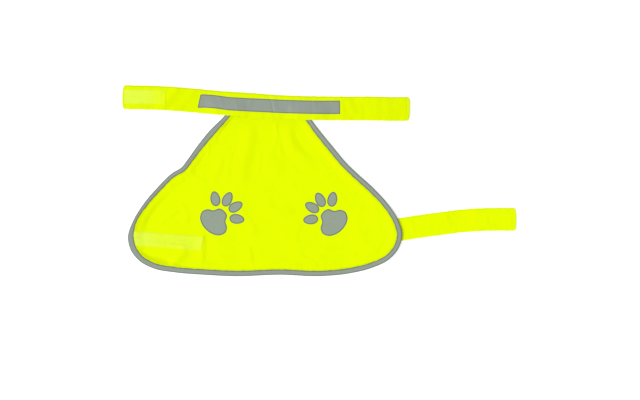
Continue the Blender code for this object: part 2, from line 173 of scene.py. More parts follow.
# Smaller creases of the panel, listed one by one. Columns: start X and Y, middle X and Y,
# end X and Y, half width at the start and at the end, height (a trough's is below 0), crispness.
PANEL_CREASES = (
    (-70, -62, -76, -100, -82, -140, 9, 12, 0.6, 0.1),
    (-112, -34, -114, -60, -113, -86, 7, 8, 0.5, 0.2),
    (18, -44, 20, -86, 14, -130, 14, 18, 0.6, 0.0),
    (-16, -60, -16, -88, -22, -118, 6, 8, 0.3, 0.1),
    (60, -10, 66, -42, 92, -64, 10, 12, -0.6, 0.1),
    (78, -54, 102, -74, 128, -102, 9, 12, -1.3, 0.1),
    (22, -30, 22, -56, 30, -82, 6, 8, 0.3, 0.2),
    (-64, -2, -76, -24, -96, -50, 11, 12, -2.2, 0.0),
    (-112, -62, -130, -88, -146, -104, 5, 7, -0.5, 0.2),
    (-152, -98, -138, -114, -112, -128, 5, 8, 0.5, 0.2),
    (-162, -108, -150, -126, -130, -144, 5, 8, -0.5, 0.2),
    (-226, -214, -206, -182, -170, -152, 18, 20, -1.6, 0.0),
    (-214, -210, -192, -190, -166, -172, 8, 11, 0.8, 0.1),
    (-122, -217, -123, -250, -126, -287, 6, 8, 0.6, 0.3),
    (-110, -224, -111, -250, -110, -280, 6, 8, -0.9, 0.1),
    (-244, -237, -196, -240, -130, -247, 4, 5, 0.7, 0.4),
    (-238, -247, -190, -252, -132, -258, 4, 6, -0.9, 0.4),
    (-240, -246, -208, -268, -176, -277, 11, 12, -2.4, 0.0),
    (-184, -286, -170, -266, -150, -246, 15, 16, 2.2, 0.0),
    (-36, -240, -33, -262, -31, -286, 5, 7, 0.6, 0.3),
    (66, -258, 84, -266, 104, -282, 5, 7, -0.6, 0.3),
    (132, -96, 118, -106, 96, -110, 4, 7, 0.7, 0.3),
    (150, -262, 176, -262, 206, -252, 5, 7, 0.6, 0.2),
    (226, -236, 216, -246, 206, -262, 4, 6, -0.6, 0.4),
    (-10, -168, 22, -180, 58, -176, 14, 16, 0.7, 0.0),
    (-60, -170, -34, -200, -24, -230, 12, 14, 0.6, 0.0),
    (176, -160, 168, -196, 172, -236, 12, 14, 0.6, 0.0),
    (62, -198, 52, -222, 58, -246, 10, 12, 0.6, 0.0),
    (-168, -160, -154, -186, -160, -210, 9, 11, 0.7, 0.1),
    (14, -10, 16, -30, 12, -56, 5, 7, 0.7, 0.2),
    (-56, -10, -60, -30, -72, -52, 5, 7, -0.5, 0.2),
)
CREASE_ENDS = (0.18, 0.3)
CREASES_START_Y = (0, -10)
CREASE_TO_BINDING = (0.0, 5.0)

# Middle line of the neck band and of the belly strap, from left to right. Columns: X, Y.
BAND_LINE = (
    (-275, 37.4),
    (-223, 36.4),
    (-197, 35.4),
    (-147, 31.6),
    (-91, 26.5),
    (-30, 22.5),
    (15, 19.1),
    (60, 17.2),
    (136, 16.1),
    (197, 15.8),
    (240, 14.9),
    (268, 15.2),
)
STRAP_LINE = (
    (219, -218.5),
    (257, -211.6),
    (290, -206.4),
    (325, -201.8),
    (363, -196.8),
    (410, -193.8),
    (469, -193.4),
)
END_ROUND = 3.0
BAND_END_SLANT = 1.8
END_BOW = 2.2
SLANT_REACH = 25.0

# What lifts the neck band and the strap. Columns: X, half length, fade length, height, share of
# the width from the lower edge that is lifted in full, lean to the right towards the upper edge.
BAND_LIFTS = (
    (0, 96, 28, 0.6, 0.36, 0.0),
    (-77, 20, 25, 2.0, 0.36, 0.0),
    (76, 20, 25, 2.0, 0.36, 0.0),
    (238, 42, 30, TRIM_WALL + GAP, 1.0, 0.0),
    (-188, 0, 16, 1.1, 1.0, 0.7),
    (-155, 0, 15, 0.7, 1.0, 0.9),
    (176, 0, 18, 0.6, 1.0, 0.2),
)
STRAP_LIFTS = (
    (439, 42, 30, TRIM_WALL + GAP, 1.0, 0.0),
)
LIFT_FALL = 0.5
STRAP_COVER = 12.0
STRAP_COVER_END = 48.0

# Smaller creases of the band and the strap, with the columns of the panel's creases
BAND_CREASES = (
    (-200, 56, -204, 36, -202, 18, 5, 6, 0.5, 0.3),
    (0, 46, 6.5, 25, 13, -4, 2.4, 2.8, -1.0, 0.8),
    (8, 44, 14, 24, 18, 0, 6, 7, 0.3, 0.2),
    (-92, 44, -90, 34, -84, 14, 5, 6, 0.4, 0.3),
    (-62, 36, -59, 20, -54, 4, 4, 5, 0.3, 0.4),
    (84, 36, 88, 24, 92, 2, 5, 6, 0.3, 0.3),
    (-30, 40, -34, 24, -36, 6, 6, 8, 0.4, 0.1),
    (48, 36, 44, 20, 46, 2, 7, 8, 0.4, 0.1),
    (150, 36, 158, 20, 164, 0, 10, 12, 0.7, 0.1),
    (172, 36, 180, 24, 186, 4, 6, 8, -0.4, 0.2),
    (222, 34, 226, 18, 224, -2, 12, 13, 0.5, 0.0),
    (206, 34, 204, 18, 208, 2, 5, 6, 0.25, 0.2),
    (138, 34, 140, 18, 144, 0, 5, 6, 0.4, 0.2),
    (249, 23.4, 257, 23.7, 266, 24, 1.8, 2.4, -0.5, 0.5),
)
STRAP_CREASES = (
    (268, -192, 272, -206, 278, -226, 4, 6, 0.7, 0.4),
    (262, -196, 264, -210, 268, -228, 3, 5, -0.5, 0.3),
    (302, -186, 306, -202, 304, -218, 6, 8, 0.5, 0.2),
    (334, -182, 340, -198, 344, -212, 5, 8, 0.6, 0.2),
    (392, -176, 390, -194, 394, -212, 5, 7, 0.5, 0.3),
    (410, -176, 412, -192, 410, -210, 4, 5, 0.5, 0.5),
    (452, -179, 459, -179.5, 468, -179.8, 1.8, 2.4, -0.5, 0.5),
)

# Unevenness of the cloth. Columns: wavelength, direction in degrees, height, shift.
COCKLE = (
    (61, 20, 0.14, 0.3),
    (43, 75, 0.10, 1.7),
    (34, 140, 0.07, 2.9),
    (24, 105, 0.045, 4.1),
    (18, 40, 0.03, 5.2),
)
COCKLE_BEND = 0.8
COCKLE_BEND_RATE = 2.1

# Puckers that a seam draws. Columns: wavelength, height, shift.
PUCKERS = (
    (11.0, 0.10, 0.4),
    (16.7, 0.12, 2.2),
    (27.0, 0.12, 3.7),
)
PUCKER_TOP = 0.2
PUCKER_REACH = 9.0
BINDING_RIPPLE = 0.5
RIPPLE_REACH = 5.0
SEAM_DIP = 0.22
END_DIP = 0.5
HEM_DIP = 0.08
SEAM_HALF = 1.1

# Waves of the edges in the plan: height, and how far those of one edge are shifted along
EDGE_WAVE = 0.22
UPPER_EDGE_SHIFT = 37
BINDING_WAVE = 0.25
BINDING_WAVE_SHIFT = 19

# Folded binding. Fold's reach and how much it bulges, in the plan.
FOLD_MIDDLE = 1.5
FOLD_BULGE = 1.1
FOLD_SIDES = 10
UPPER_SINK = 0.16
LOWER_RISE = 0.12
# Its legs. Columns: share of the distance to the seam, share of the leg's width, distance
# further, height over the leg's own.
LOWER_LEG = (
    (0, 1, 0, 0),
    (0.5, 0.5, 0, 0.05),
    (1, 0, 0, LOWER_RISE),
    (0.5, 0, 0, 0),
)
UPPER_LEG = (
    (0, 0, 2.6, 0.12),
    (0.5, 0, 0, 0.16),
    (0.8, 0, 0, 0.02),
    (1, 0, 0, -UPPER_SINK),
    (1, 0, 0.9, -0.05),
    (0, 1, 0, -0.12),
)

# Corners of the trims that lie on the cloth. Columns: X, Y.
NECK_LOOP = (
    (-271.5, 25),
    (-193.5, 24),
    (-192.5, 51),
    (-271.5, 52),
)
FLANK_LOOP_RIGHT = (
    (-126.5, -252.5),
    (-121, -225.5),
)
FLANK_LOOP_LEFT_Y = (-216, -243)
STRIP_ENDS = (-130.2, 135.9)
STRIP_DROP = (
    (-130, 0.4),
    (-120, -1.1),
    (-101, -1.4),
    (-72, 0.3),
    (-34, 0.1),
    (-6, -0.9),
    (23, -1.4),
    (98, -1.7),
    (136, -2.2),
)
STRIP_END_LEAN = 2.7
STRIP_LEAN_REACH = 12
TRIM_LIFT = 0.12
TRIM_DIP = 0.3
SELVEDGE = 1.6

# Darker rims: on the grey pieces partly their edges' own tone, partly painted shade; on
# cloth, painted shade beside a fold, an end, the band or the binding
RIM_WIDTH = 1.7
RIM_DARKENING = 0.46
RIM_FADE = (0.55, 1.2)
OUTER_RIM = 0.75
FILM_RIM = 0.72
FOLD_RIM = 3.0
END_SHADE = 1.2
BAND_SHADE = 2.7
BAND_SHADE_REACH = 40.0

# Where the shade beside the binding is wider. Columns: X, Y, reach, how much wider.
WIDE_SHADES = (
    (-206, -275, 34, 3.4),
    (-244, -206, 30, 1.4),
    (-70, -4, 24, 1.8),
)

# Knitted cloths. Columns: brightness beside the panel's, painted shade beside an edge.
KNITS = {
    "panel_knit": (1.0, 0.12),
    "band_knit": (0.965, 0.14),
    "strap_knit": (1.01, 0.08),
}

# Loop tapes, paler at their left ends and nearer the cloth's yellow towards their right ends.
# Columns: where the change starts and is full, in metres from the left end, and the share of
# the cloth's yellow that is reached.
LOOP_PALE_TO_YELLOW = {
    "neck_loop": (0.026, 0.080, 0.85),
    "flank_loop": (0.010, 0.060, 0.45),
}

# Paw motif in its own plan, ahead is towards the toes. Half of the pad from the front lobe
# to the heel, and the toes of one side. Columns: across, ahead.
PAD_HALF = (
    (0, 26.5),
    (9.5, 24),
    (15.5, 13.5),
    (25, 7.5),
    (29.5, -2),
    (25.5, -12.5),
    (13, -20.5),
    (0, -22.5),
)
# Columns: across, ahead, half length, half width, lean outwards in degrees.
TOES = (
    (-28, 32, 14.2, 9.2, -54),
    (-10.5, 47, 14.5, 9.2, -17),
    (10.5, 47, 14.5, 9.2, 17),
    (28, 32, 14.2, 9.2, 54),
)
TOE_NARROWING = 0.12
PAD_AREA = 0.0020
# Columns: name, X, Y, turn of the motif to the right in degrees.
PAWS = (
    ("paw_left", -101, -197, 43),
    ("paw_right", 123, -198, -43),
)
FILM_SIDES = 96
FILM_RINGS = (0.98, 0.95, 0.88, 0.76, 0.6, 0.42, 0.22)
FILM_RIM_DROP = 0.08
FILM_RIM_REACH = 0.5

# Stitches: how far their lines lie from the edge of the piece that they hold, and their form
BINDING_SEAM = 1.8
TRIM_SEAM = 1.6
BAND_SEAM = 2.2
END_SEAM = 5.2
STITCH_SIDES = 6
STITCH_SINK = 0.16
STITCH_BEVEL = 0.3
SEAM_READ_STEP = 1.5

# How far the long seams stop short at both ends, and the two rows that hold the strap's root
BAND_SEAM_ENDS = (3, 0)
STRAP_SEAM_ENDS = (8, 2)
ROOT_SEAMS = (4.0, 7.0)
ROOT_SHARE = 0.82

# Stage: soft light from the left, floor and camera, in metres and the sensor in millimetres
KEY_PLACE = (-20.4, -3.6, 19.2)
KEY_SIZE = 14.8
FLOOR_SIZE = 14.0
FLOOR_DROP = 0.0003
SENSOR = 36.0

# Loops of the brushed pile, and hooks under the hook tapes. Turn is how freely they turn.
LOOP_PITCH = 1.5
LOOP_STEM = 0.2
LOOP_REACH = 0.55
LOOP_THREAD = 0.14
LOOP_MARGIN = 1.9
LOOP_TURN = 1.1
LOOP_SEED = 11
HOOK_PITCH = 1.8
HOOK_STEM = 0.4
HOOK_REACH = 0.3
HOOK_BEND = math.radians(215)
HOOK_THREAD = 0.1
HOOK_MARGIN = 2.4
HOOK_TURN = 0.12
HOOK_SEED = 5
HOOK_MIDDLE = 1.2
HOOK_WEAVE = 0.4
THREAD_SIZES = (0.8, 1.15)
THREAD_SHIFT = 0.3

# Knit: height of a course beside a wale's width, lean of a wale, depth between courses, painted
# light on its loops and painted shade in its hollows, and the wale of the hook tapes in metres
COURSE = 0.72
WALE_LEAN = 0.22
COURSE_DEPTH = 0.22
LOOP_BRIGHTNESS = 1.03
HOLLOW_PAINTED_SHADE = 0.10
HOOK_WALE = 0.0006


def millimetres(name, description, default, low, high):
    """Property for a small length, given in millimetres and kept in metres."""
    low, default, high = low * MILLIMETRE, default * MILLIMETRE, high * MILLIMETRE
    limits = {"default": default, "min": low, "max": high}
    return FloatProperty(name=name, description=description, unit="LENGTH", precision=5, **limits)


def colour(name, description, default):
    """Property for a colour, as linear red, green and blue."""
    limits = {"default": default, "min": 0.0, "max": 1.0}
    return FloatVectorProperty(name=name, description=description, size=3, subtype="COLOR", **limits)


def share(name, description, default, high=1.0):
    """Property for a share or a strength."""
    limits = {"default": default, "min": 0.0, "max": high}
    return FloatProperty(name=name, description=description, subtype="FACTOR", **limits)


class VestSizes(bpy.types.PropertyGroup):
    """Sizes of the cloths, the threads and the textures"""

    cloth: millimetres("Cloth", "Thickness of the panel's cloth", 0.5, 0.2, 1.0)
    band: millimetres("Band", "Thickness of the doubled neck band", 1.0, 0.5, 2.0)
    strap: millimetres("Strap", "Thickness of the doubled belly strap", 0.9, 0.5, 1.6)
    binding: millimetres("Binding", "Thickness of the binding tape", 0.5, 0.2, 1.0)
    tape: millimetres("Tape", "Thickness of the strip and of the loop tapes", 0.35, 0.2, 1.0)
    film: millimetres("Film", "Thickness of the pressed film of the paws", 0.2, 0.1, 1.0)
    folds: share("Folds", "Depth of the creases that are placed by hand", 1.0, 2.0)
    stitch: millimetres("Stitch", "Length of one stitch", 2.7, 1.0, 5.0)
    stitch_gap: millimetres("Stitch gap", "Gap between two stitches", 0.7, 0.1, 3.0)
    thread: millimetres("Thread", "Width of the sewing thread", 0.5, 0.1, 1.0)
    knit: millimetres("Knit", "Distance between two wales of the knit", 0.9, 0.3, 3.0)
    bead: millimetres("Bead", "Size of a grain of the glass-bead coating", 0.28, 0.1, 2.0)
    pile: millimetres("Pile", "Size of a loop of the loop tapes", 0.8, 0.2, 3.0)


class VestColours(bpy.types.PropertyGroup):
    """Colours of the cloths, tapes and threads"""

    cloth: colour("Cloth", "Fluorescent yellow of the knitted cloth", (0.775, 0.955, 0.0005))
    glow: share("Glow", "Light that the fluorescent cloth adds", 0.03)
    tape: colour("Tape", "Grey of the binding tape and of the strip", (0.291, 0.336, 0.286))
    film: colour("Film", "Greener grey of the paws' film", (0.296, 0.358, 0.284))
    loop: colour("Loop tape", "Paler yellow of the brushed pile", (0.765, 0.955, 0.060))
    hook: colour("Hook tape", "Yellow of the woven hook tape", (0.70, 0.88, 0.03))
    yellow_thread: colour("Yellow thread", "Thread on the yellow cloth", (0.77, 0.95, 0.012))
    grey_thread: colour("Grey thread", "Thread on the grey tape", (0.20, 0.235, 0.20))
    floor: colour("Floor", "Pale surface under the vest", (0.98, 0.98, 0.98))


class StageLook(bpy.types.PropertyGroup):
    """Camera and light over the vest"""

    height: FloatProperty(
        name="Camera height",
        description="Height of the camera over the surface",
        default=2.856,
        min=0.5,
        max=10.0,
        unit="LENGTH",
    )
    aim: FloatVectorProperty(
        name="Aim",
        description="Place that the camera looks straight down at",
        default=(0.00144, -0.03635),
        size=2,
        subtype="XYZ",
        unit="LENGTH",
        precision=5,
    )
    lens: FloatProperty(
        name="Lens",
        description="Focal length of the camera in millimetres",
        default=85.0,
        min=20.0,
        max=200.0,
    )
    ambient: share("Ambient", "Light that comes evenly from all around", 0.63, 4.0)
    floor_glow: share("Floor glow", "Light that the floor adds, so that it stays white", 0.3)
    key: FloatProperty(
        name="Key light",
        description="Power of the soft light from the left, in watts",
        default=4900.0,
        min=0.0,
        max=50000.0,
        subtype="POWER",
        unit="POWER",
    )


# Curves and heights, in millimetres


def smooth_step(start, stop, value):
    """Rises softly from 0 at start to 1 at stop."""
    t = np.clip((value - start) / (stop - start), 0.0, 1.0)
    return t * t * (3 - 2 * t)


def smooth_curve(knots):
    """Cubic curve through rows of numbers; columns after X and Y are carried along."""
    rows = np.array(knots, float)
    spans = np.linalg.norm(np.diff(rows[:, :2], axis=0), axis=1)
    slope = np.gradient(rows, np.concatenate([[0.0], np.cumsum(spans)]), axis=0)
    t = np.linspace(0, 1, CURVE_STEPS, endpoint=False)[:, None]
    parts = []
    for i, span in enumerate(spans):
        part = (2 * t**3 - 3 * t**2 + 1) * rows[i] + (3 * t**2 - 2 * t**3) * rows[i + 1]
        part += (t**3 - 2 * t**2 + t) * span * slope[i] + (t**3 - t**2) * span * slope[i + 1]
        parts.append(part)
    return np.vstack(parts + [rows[-1:]])


def lengths_along(line):
    """Distance of each point of a line from the line's start."""
    return np.concatenate([[0.0], np.cumsum(np.linalg.norm(np.diff(line[:, :2], axis=0), axis=1))])


def length_of(line):
    """Whole length of a line."""
    return lengths_along(line)[-1]


def read_along(line, distances):
    """Rows of a line at the given distances from its start, in the distances' own shape."""
    along = lengths_along(line)
    return np.stack([np.interp(distances, along, column) for column in line.T], axis=-1)


def left_normals(line):
    """Unit vectors to the left of a line's direction."""
    direction = np.gradient(line[:, :2], axis=0)
    direction /= np.linalg.norm(direction, axis=1)[:, None]
    return np.column_stack([-direction[:, 1], direction[:, 0]])


def smooth_sides(line, at):
    """Unit vectors to a line's left, over a stretch so long that close stations don't turn."""
    ahead = read_along(line, at + SIDE_REACH) - read_along(line, at - SIDE_REACH)
    ahead /= np.linalg.norm(ahead, axis=1)[:, None]
    return np.column_stack([-ahead[:, 1], ahead[:, 0]])


def nearest(points, line):
    """Distance from each point to a line, and how far along the line the nearest place is."""
    start = line[:-1, :2]
    step = np.diff(line[:, :2], axis=0)
    length = np.linalg.norm(step, axis=1)
    reach = points[:, None, :] - start
    part = np.clip((reach * step).sum(2) / length**2, 0, 1)
    distance = np.linalg.norm(reach - part[..., None] * step, axis=2)
    row = np.arange(len(points))
    best = distance.argmin(1)
    along = lengths_along(line)[:-1] + part * length
    return distance[row, best], along[row, best]


# The panel's outer edge as a smooth curve
EDGE = smooth_curve(PANEL_EDGE)
EDGE[:, 3] = np.maximum(EDGE[:, 3], 0)

# Doubled cloth strips: their node, middle line, width, lifts, creases, height of the middle,
# slant of the right end, and the size that is their thickness
Strip = namedtuple("Strip", "node line width lifts creases middle slant size")
BAND = Strip("neck_band", smooth_curve(BAND_LINE), BAND_WIDTH, BAND_LIFTS, BAND_CREASES, BAND_MIDDLE,
             BAND_END_SLANT, "band")
STRAP = Strip("belly_strap", smooth_curve(STRAP_LINE), STRAP_WIDTH, STRAP_LIFTS, STRAP_CREASES,
              STRAP_MIDDLE, 0.0, "strap")


def beside_edge(points):
    """Distance from the panel's edge, how far along it, and the edge's own values there."""
    distance, along = nearest(points, EDGE)
    return distance, along, read_along(EDGE, along)


def crease_height(points, creases, ends):
    """Height that a table of creases adds at some points of the plan."""
    height = np.zeros(len(points))
    for x0, y0, x1, y1, x2, y2, half_start, half_end, rise, *crisp in creases:
        ridge = smooth_curve([(x0, y0), (x1, y1), (x2, y2)])
        distance, along = nearest(points, ridge)
        part = along / length_of(ridge)
        across = np.clip(distance / (half_start + (half_end - half_start) * part), 0, 1)
        soft = (1 + np.cos(math.pi * across)) / 2
        sharp = crisp[0] if crisp else 0.0
        profile = (1 - sharp) * soft + sharp * (1 - across)**2
        envelope = smooth_step(0, ends[0], part) * (1 - smooth_step(1 - ends[1], 1, part))
        height += rise * envelope * profile
    return height


def cockle(points):
    """Small unevenness of a cloth that isn't stretched."""
    height = np.zeros(len(points))
    for wavelength, turn, rise, shift in COCKLE:
        angle = math.radians(turn)
        run = points @ (math.cos(angle), math.sin(angle))
        aside = points @ (-math.sin(angle), math.cos(angle)) / wavelength
        bend = COCKLE_BEND * np.sin(aside * COCKLE_BEND_RATE + shift)
        height += rise * np.sin(2 * math.pi * run / wavelength + shift + bend)
    return height


def pucker(along):
    """Uneven waves along a seam."""
    height = np.zeros(np.shape(along))
    for wavelength, rise, shift in PUCKERS:
        height += rise * np.sin(2 * math.pi * along / wavelength + shift)
    return height


def seam_dip(distance, depth=SEAM_DIP):
    """How far a row of stitches pulls the cloth down, near the row."""
    return -depth * np.exp(-(distance / SEAM_HALF)**2)


def strap_lift(points):
    """How far the strap's sewn end lifts the cloth over it."""
    distance, _ = nearest(points, STRAP.line)
    fall = smooth_step(STRAP_COVER, STRAP_COVER_END, distance - STRAP_WIDTH / 2)
    return (STRAP_WALL + GAP) * (1 - fall)


def panel_middle(points, sizes):
    """Height of the middle of the panel's cloth: the frame's form with its smaller creases."""
    distance, along, beside = beside_edge(points)
    edge_lift = beside[:, 3] + strap_lift(beside[:, :2])
    rim = 1 - smooth_step(RIM_FLAT, RIM_END, distance)
    height = rim * (BINDING_SEAT + edge_lift)
    swells = SWELL_SHARE * crease_height(points, SWELLS, SWELL_ENDS)
    height += (1 - rim) * (strap_lift(points) + swells)
    from_binding = distance - beside[:, 2]
    free = smooth_step(*CREASE_TO_BINDING, from_binding) * smooth_step(*CREASES_START_Y, points[:, 1])
    creases = crease_height(points, PANEL_CREASES, CREASE_ENDS) + cockle(points)
    height += free * creases * sizes.folds
    near_seam = np.exp(-(from_binding / PUCKER_REACH)**2) * (from_binding > 0)
    height += near_seam * pucker(along) * sizes.folds
    return np.maximum(height + PANEL_MIDDLE, sizes.cloth / MILLIMETRE / 2 + LEAST_HEIGHT)


def strip_middle(strip, points, sizes):
    """Height of the middle of a band or strap, whose lower edge is stitched."""
    distance, along = nearest(points, strip.line)
    level = points[:, 1] - read_along(strip.line, along)[:, 1]
    width = strip.width
    from_lower = np.clip(width / 2 + np.sign(level) * distance, 0, width)
    height = np.full(len(points), strip.middle)
    for centre, half, fade, rise, full, lean in strip.lifts:
        reach = 1 - smooth_step(half, half + fade, np.abs(points[:, 0] - centre - lean * level))
        height += rise * reach * (1 - smooth_step(full, full + LIFT_FALL, from_lower / width))
    soft = crease_height(points, strip.creases, CREASE_ENDS) + cockle(points)
    from_edge = np.minimum(from_lower, width - from_lower)
    soft += pucker(along) * np.exp(-(from_edge / PUCKER_REACH)**2)
    from_end = length_of(strip.line) - along - END_SEAM
    height += soft * sizes.folds + seam_dip(from_lower - BAND_SEAM, HEM_DIP)
    height += seam_dip(from_end, END_DIP)
    return np.maximum(height, getattr(sizes, strip.size) / MILLIMETRE / 2 + LEAST_HEIGHT)


def panel_top(points, sizes):
    """Height of the panel's face."""
    return panel_middle(points, sizes) + sizes.cloth / MILLIMETRE / 2


def strip_top(strip, points, sizes):
    """Height of the face of the band or the strap."""
    return strip_middle(strip, points, sizes) + getattr(sizes, strip.size) / MILLIMETRE / 2


band_top = partial(strip_top, BAND)
strap_top = partial(strip_top, STRAP)


def shade_width(points):
    """How many times as wide the shade beside the binding is."""
    width = np.ones(len(points))
    for x, y, reach, wider in WIDE_SHADES:
        width += wider * np.exp(-((points - (x, y))**2).sum(1) / reach**2)
    return width


# Plans of the cut


def panel_plan():
    """Grid that blends the neck edge, the two sides and the hem into one another."""
    inset = EDGE[:, :2] + left_normals(EDGE) * (BINDING_WALL + GAP)
    along = lengths_along(EDGE)
    left_corner, right_corner = along[[LEFT_CORNER * CURVE_STEPS, RIGHT_CORNER * CURVE_STEPS]]
    stations = (
        np.linspace(0, left_corner, PANEL_ROWS + 1),
        np.linspace(left_corner, right_corner, PANEL_COLUMNS + 1),
        np.linspace(along[-1], right_corner, PANEL_ROWS + 1),
    )
    left, hem, right = [
        np.column_stack([np.interp(distances, along, column) for column in inset.T])
        for distances in stations
    ]
    u = np.linspace(0, 1, PANEL_COLUMNS + 1)[None, :, None]
    v = np.linspace(0, 1, PANEL_ROWS + 1)[:, None, None]
    neck = left[0] + u * (right[0] - left[0])
    ruled = (1 - v) * neck + v * hem[None] + (1 - u) * left[:, None] + u * right[:, None]
    corners = (1 - v) * neck + v * (hem[0] + u * (hem[-1] - hem[0]))
    return ruled - corners


def seam_spaced(width, seam, step):
    """Distances across a tape, closer together by the stitch line near each edge."""
    near = np.array(SEAM_STATIONS) * seam
    count = max(int((width / 2 - near[-1]) / step), 1)
    half = np.concatenate([near[:-1], np.linspace(near[-1], width / 2, count + 1)])
    return np.concatenate([half, width - half[-2::-1]])


def strip_plan(line, start, stop, width, across, slant=0.0):
    """Grid over a straight-cut strip with rounded corners, and its distances along."""
    near = np.array(END_STATIONS) * END_ROUND
    count = max(int((stop - start - 2 * END_ROUND) / STRAP_STEP), 1)
    inner = np.linspace(start + END_ROUND, stop - END_ROUND, count + 1)[1:-1]
    at = np.concatenate([start + near, inner, stop - near[::-1]])
    to_end = np.clip(np.minimum(at - start, stop - at), 0, END_ROUND)
    half = width / 2 - END_ROUND + np.sqrt(END_ROUND**2 - (END_ROUND - to_end)**2)
    offset = 1 - 2 * across[:, None] / width
    wave = EDGE_WAVE * pucker(at + UPPER_EDGE_SHIFT * (offset > 0)) / PUCKER_TOP * np.abs(offset)**6
    plan = (offset * half + wave * np.sign(offset))[..., None] * smooth_sides(line, at)
    plan += read_along(line, at)
    near_start = 1 - smooth_step(0, SLANT_REACH, at - start)
    near_stop = 1 - smooth_step(0, SLANT_REACH, stop - at)
    plan[..., 0] += slant * offset / 2 * near_stop
    plan[..., 0] += END_BOW * offset**4 * (near_start - near_stop)
    return plan, at


def between(start, stop, shares):
    """Points at some shares of the way from one point to another."""
    return start + shares[:, None] * (stop - start)


def tape_plan(left, right, down, length):
    """Grid over a tape between its left and right ends, with its distances down and along."""
    along = seam_spaced(length, TRIM_SEAM, TAPE_STEP)
    plan = left[:, None] + (along / length)[None, :, None] * (right - left)[:, None]
    return plan, down, along


def neck_loop_plan():
    """Grid over the loop tape on the neck band."""
    lower_left, lower_right, upper_right, upper_left = np.array(NECK_LOOP, float)
    width = np.linalg.norm(upper_left - lower_left)
    down = seam_spaced(width, TRIM_SEAM, TAPE_STEP)
    left = between(upper_left, lower_left, down / width)
    right = between(upper_right, lower_right, down / width)
    return tape_plan(left, right, down, np.linalg.norm(lower_right - lower_left))


def flank_loop_plan():
    """Grid over the flank's loop tape, from the binding's inner edge to its right end."""
    inner = EDGE[:, :2] + left_normals(EDGE) * (EDGE[:, 2:3] + 2 * GAP)
    side = inner[:LEFT_CORNER * CURVE_STEPS][::-1]
    top, bottom = FLANK_LOOP_LEFT_Y
    lower_right, upper_right = np.array(FLANK_LOOP_RIGHT, float)
    width = np.linalg.norm(upper_right - lower_right)
    down = seam_spaced(width, TRIM_SEAM, TAPE_STEP)
    y = top + (bottom - top) * down / width
    left = np.column_stack([np.interp(y, side[:, 1], side[:, 0]), y])
    right = between(upper_right, lower_right, down / width)
    return tape_plan(left, right, down, np.linalg.norm(right[0] - left[0]))


def neck_strip_plan():
    """Grid over the reflective strip, a little below the band's middle."""
    drop = np.array(STRIP_DROP, float)
    length = STRIP_ENDS[1] - STRIP_ENDS[0]
    along = seam_spaced(length, TRIM_SEAM, STRIP_STEP)
    down = seam_spaced(STRIP_WIDTH, TRIM_SEAM, TAPE_STEP)
    x = STRIP_ENDS[0] + along
    middle = np.interp(x, BAND.line[:, 0], BAND.line[:, 1]) - np.interp(x, *drop.T)
    offset = STRIP_WIDTH / 2 - down
    near_end = 1 - smooth_step(0, STRIP_LEAN_REACH, along)
    grid_x = x[None, :] + STRIP_END_LEAN * (offset / STRIP_WIDTH * 2)[:, None] * near_end
    return np.dstack([grid_x, middle[None, :] + offset[:, None]]), down, along


def placed(points, x, y, turn):
    """Plan points turned to the right by an angle in degrees, then moved."""
    angle = math.radians(-turn)
    rotation = np.array([[math.cos(angle), -math.sin(angle)], [math.sin(angle), math.cos(angle)]])
    return np.array(points, float) @ rotation.T + (x, y)


def pad_outline():
    """Whole pad, from the half outline and its mirror image, as a closed smooth line."""
    half = np.array(PAD_HALF, float)
    whole = np.vstack([half, half[-2:0:-1] * (-1, 1), half[:1]])
    # Repeating the first and last spans lets the curve close without a corner.
    wrapped = np.vstack([whole[-3:-1], whole, whole[1:3]])
    return smooth_curve(wrapped)[2 * CURVE_STEPS:-2 * CURVE_STEPS]


def toe_outline(half_length, half_width):
    """Egg-shaped toe about its own middle, narrower at its far end, as a closed line."""
    turns = np.linspace(0, 2 * math.pi, FILM_SIDES + 1)
    narrowing = 1 - TOE_NARROWING * np.sin(turns)
    return np.column_stack([half_width * np.cos(turns) * narrowing, half_length * np.sin(turns)])


# Meshes


def in_frame(plan, height):
    """Points of the plan and their heights, as metres in the frame."""
    points = np.column_stack([plan.reshape(-1, 2) + NECK_SEAM, np.ravel(height)])
    return points * MILLIMETRE


def use_only(piece):
    """Selects one object and makes it the active one."""
    bpy.ops.object.select_all(action="DESELECT")
    piece.select_set(True)
    bpy.context.view_layer.objects.active = piece


def apply_modifier(piece, kind, **settings):
    """Adds a modifier to a piece and applies it."""
    modifier = piece.modifiers.new(kind.lower(), kind)
    for name, value in settings.items():
        setattr(modifier, name, value)
    use_only(piece)
    bpy.ops.object.modifier_apply(modifier=modifier.name)


def new_piece(name, points, faces, uv, edge, material):
    """Object with its own mesh, a map of the cut in metres and its distances from the edge."""
    mesh = bpy.data.meshes.new(name)
    mesh.from_pydata(points.tolist(), [], faces)
    corners = np.zeros(len(mesh.loops), int)
    mesh.loops.foreach_get("vertex_index", corners)
    layer = mesh.uv_layers.new(name="cut")
    layer.data.foreach_set("uv", (uv[corners] * MILLIMETRE).ravel())
    from_edge = mesh.attributes.new("from_edge", "FLOAT", "POINT")
    from_edge.data.foreach_set("value", np.ravel(edge).astype(float))
    mesh.materials.append(material)
    mesh.shade_smooth()
    piece = bpy.data.objects.new(name, mesh)
    bpy.context.scene.collection.objects.link(piece)
    return piece


def grid_faces(rows, columns):
    """Faces over a grid whose rows run down and columns to the right, seen from outside."""
    index = np.arange(rows * columns).reshape(rows, columns)
    faces = (index[:-1, :-1], index[1:, :-1], index[1:, 1:], index[:-1, 1:])
    return np.stack(faces, axis=-1).reshape(-1, 4)


def thicken(piece, thick, rounding=0.0):
    """Gives a sheet its thickness and, where asked, softly rounded rims."""
    apply_modifier(piece, "SOLIDIFY", thickness=thick, offset=0.0)
    if rounding:
        apply_modifier(piece, "BEVEL", width=rounding * thick, segments=3, angle_limit=SMOOTH_ANGLE)
    use_only(piece)
    bpy.ops.object.shade_smooth_by_angle(angle=SMOOTH_ANGLE)
    return piece


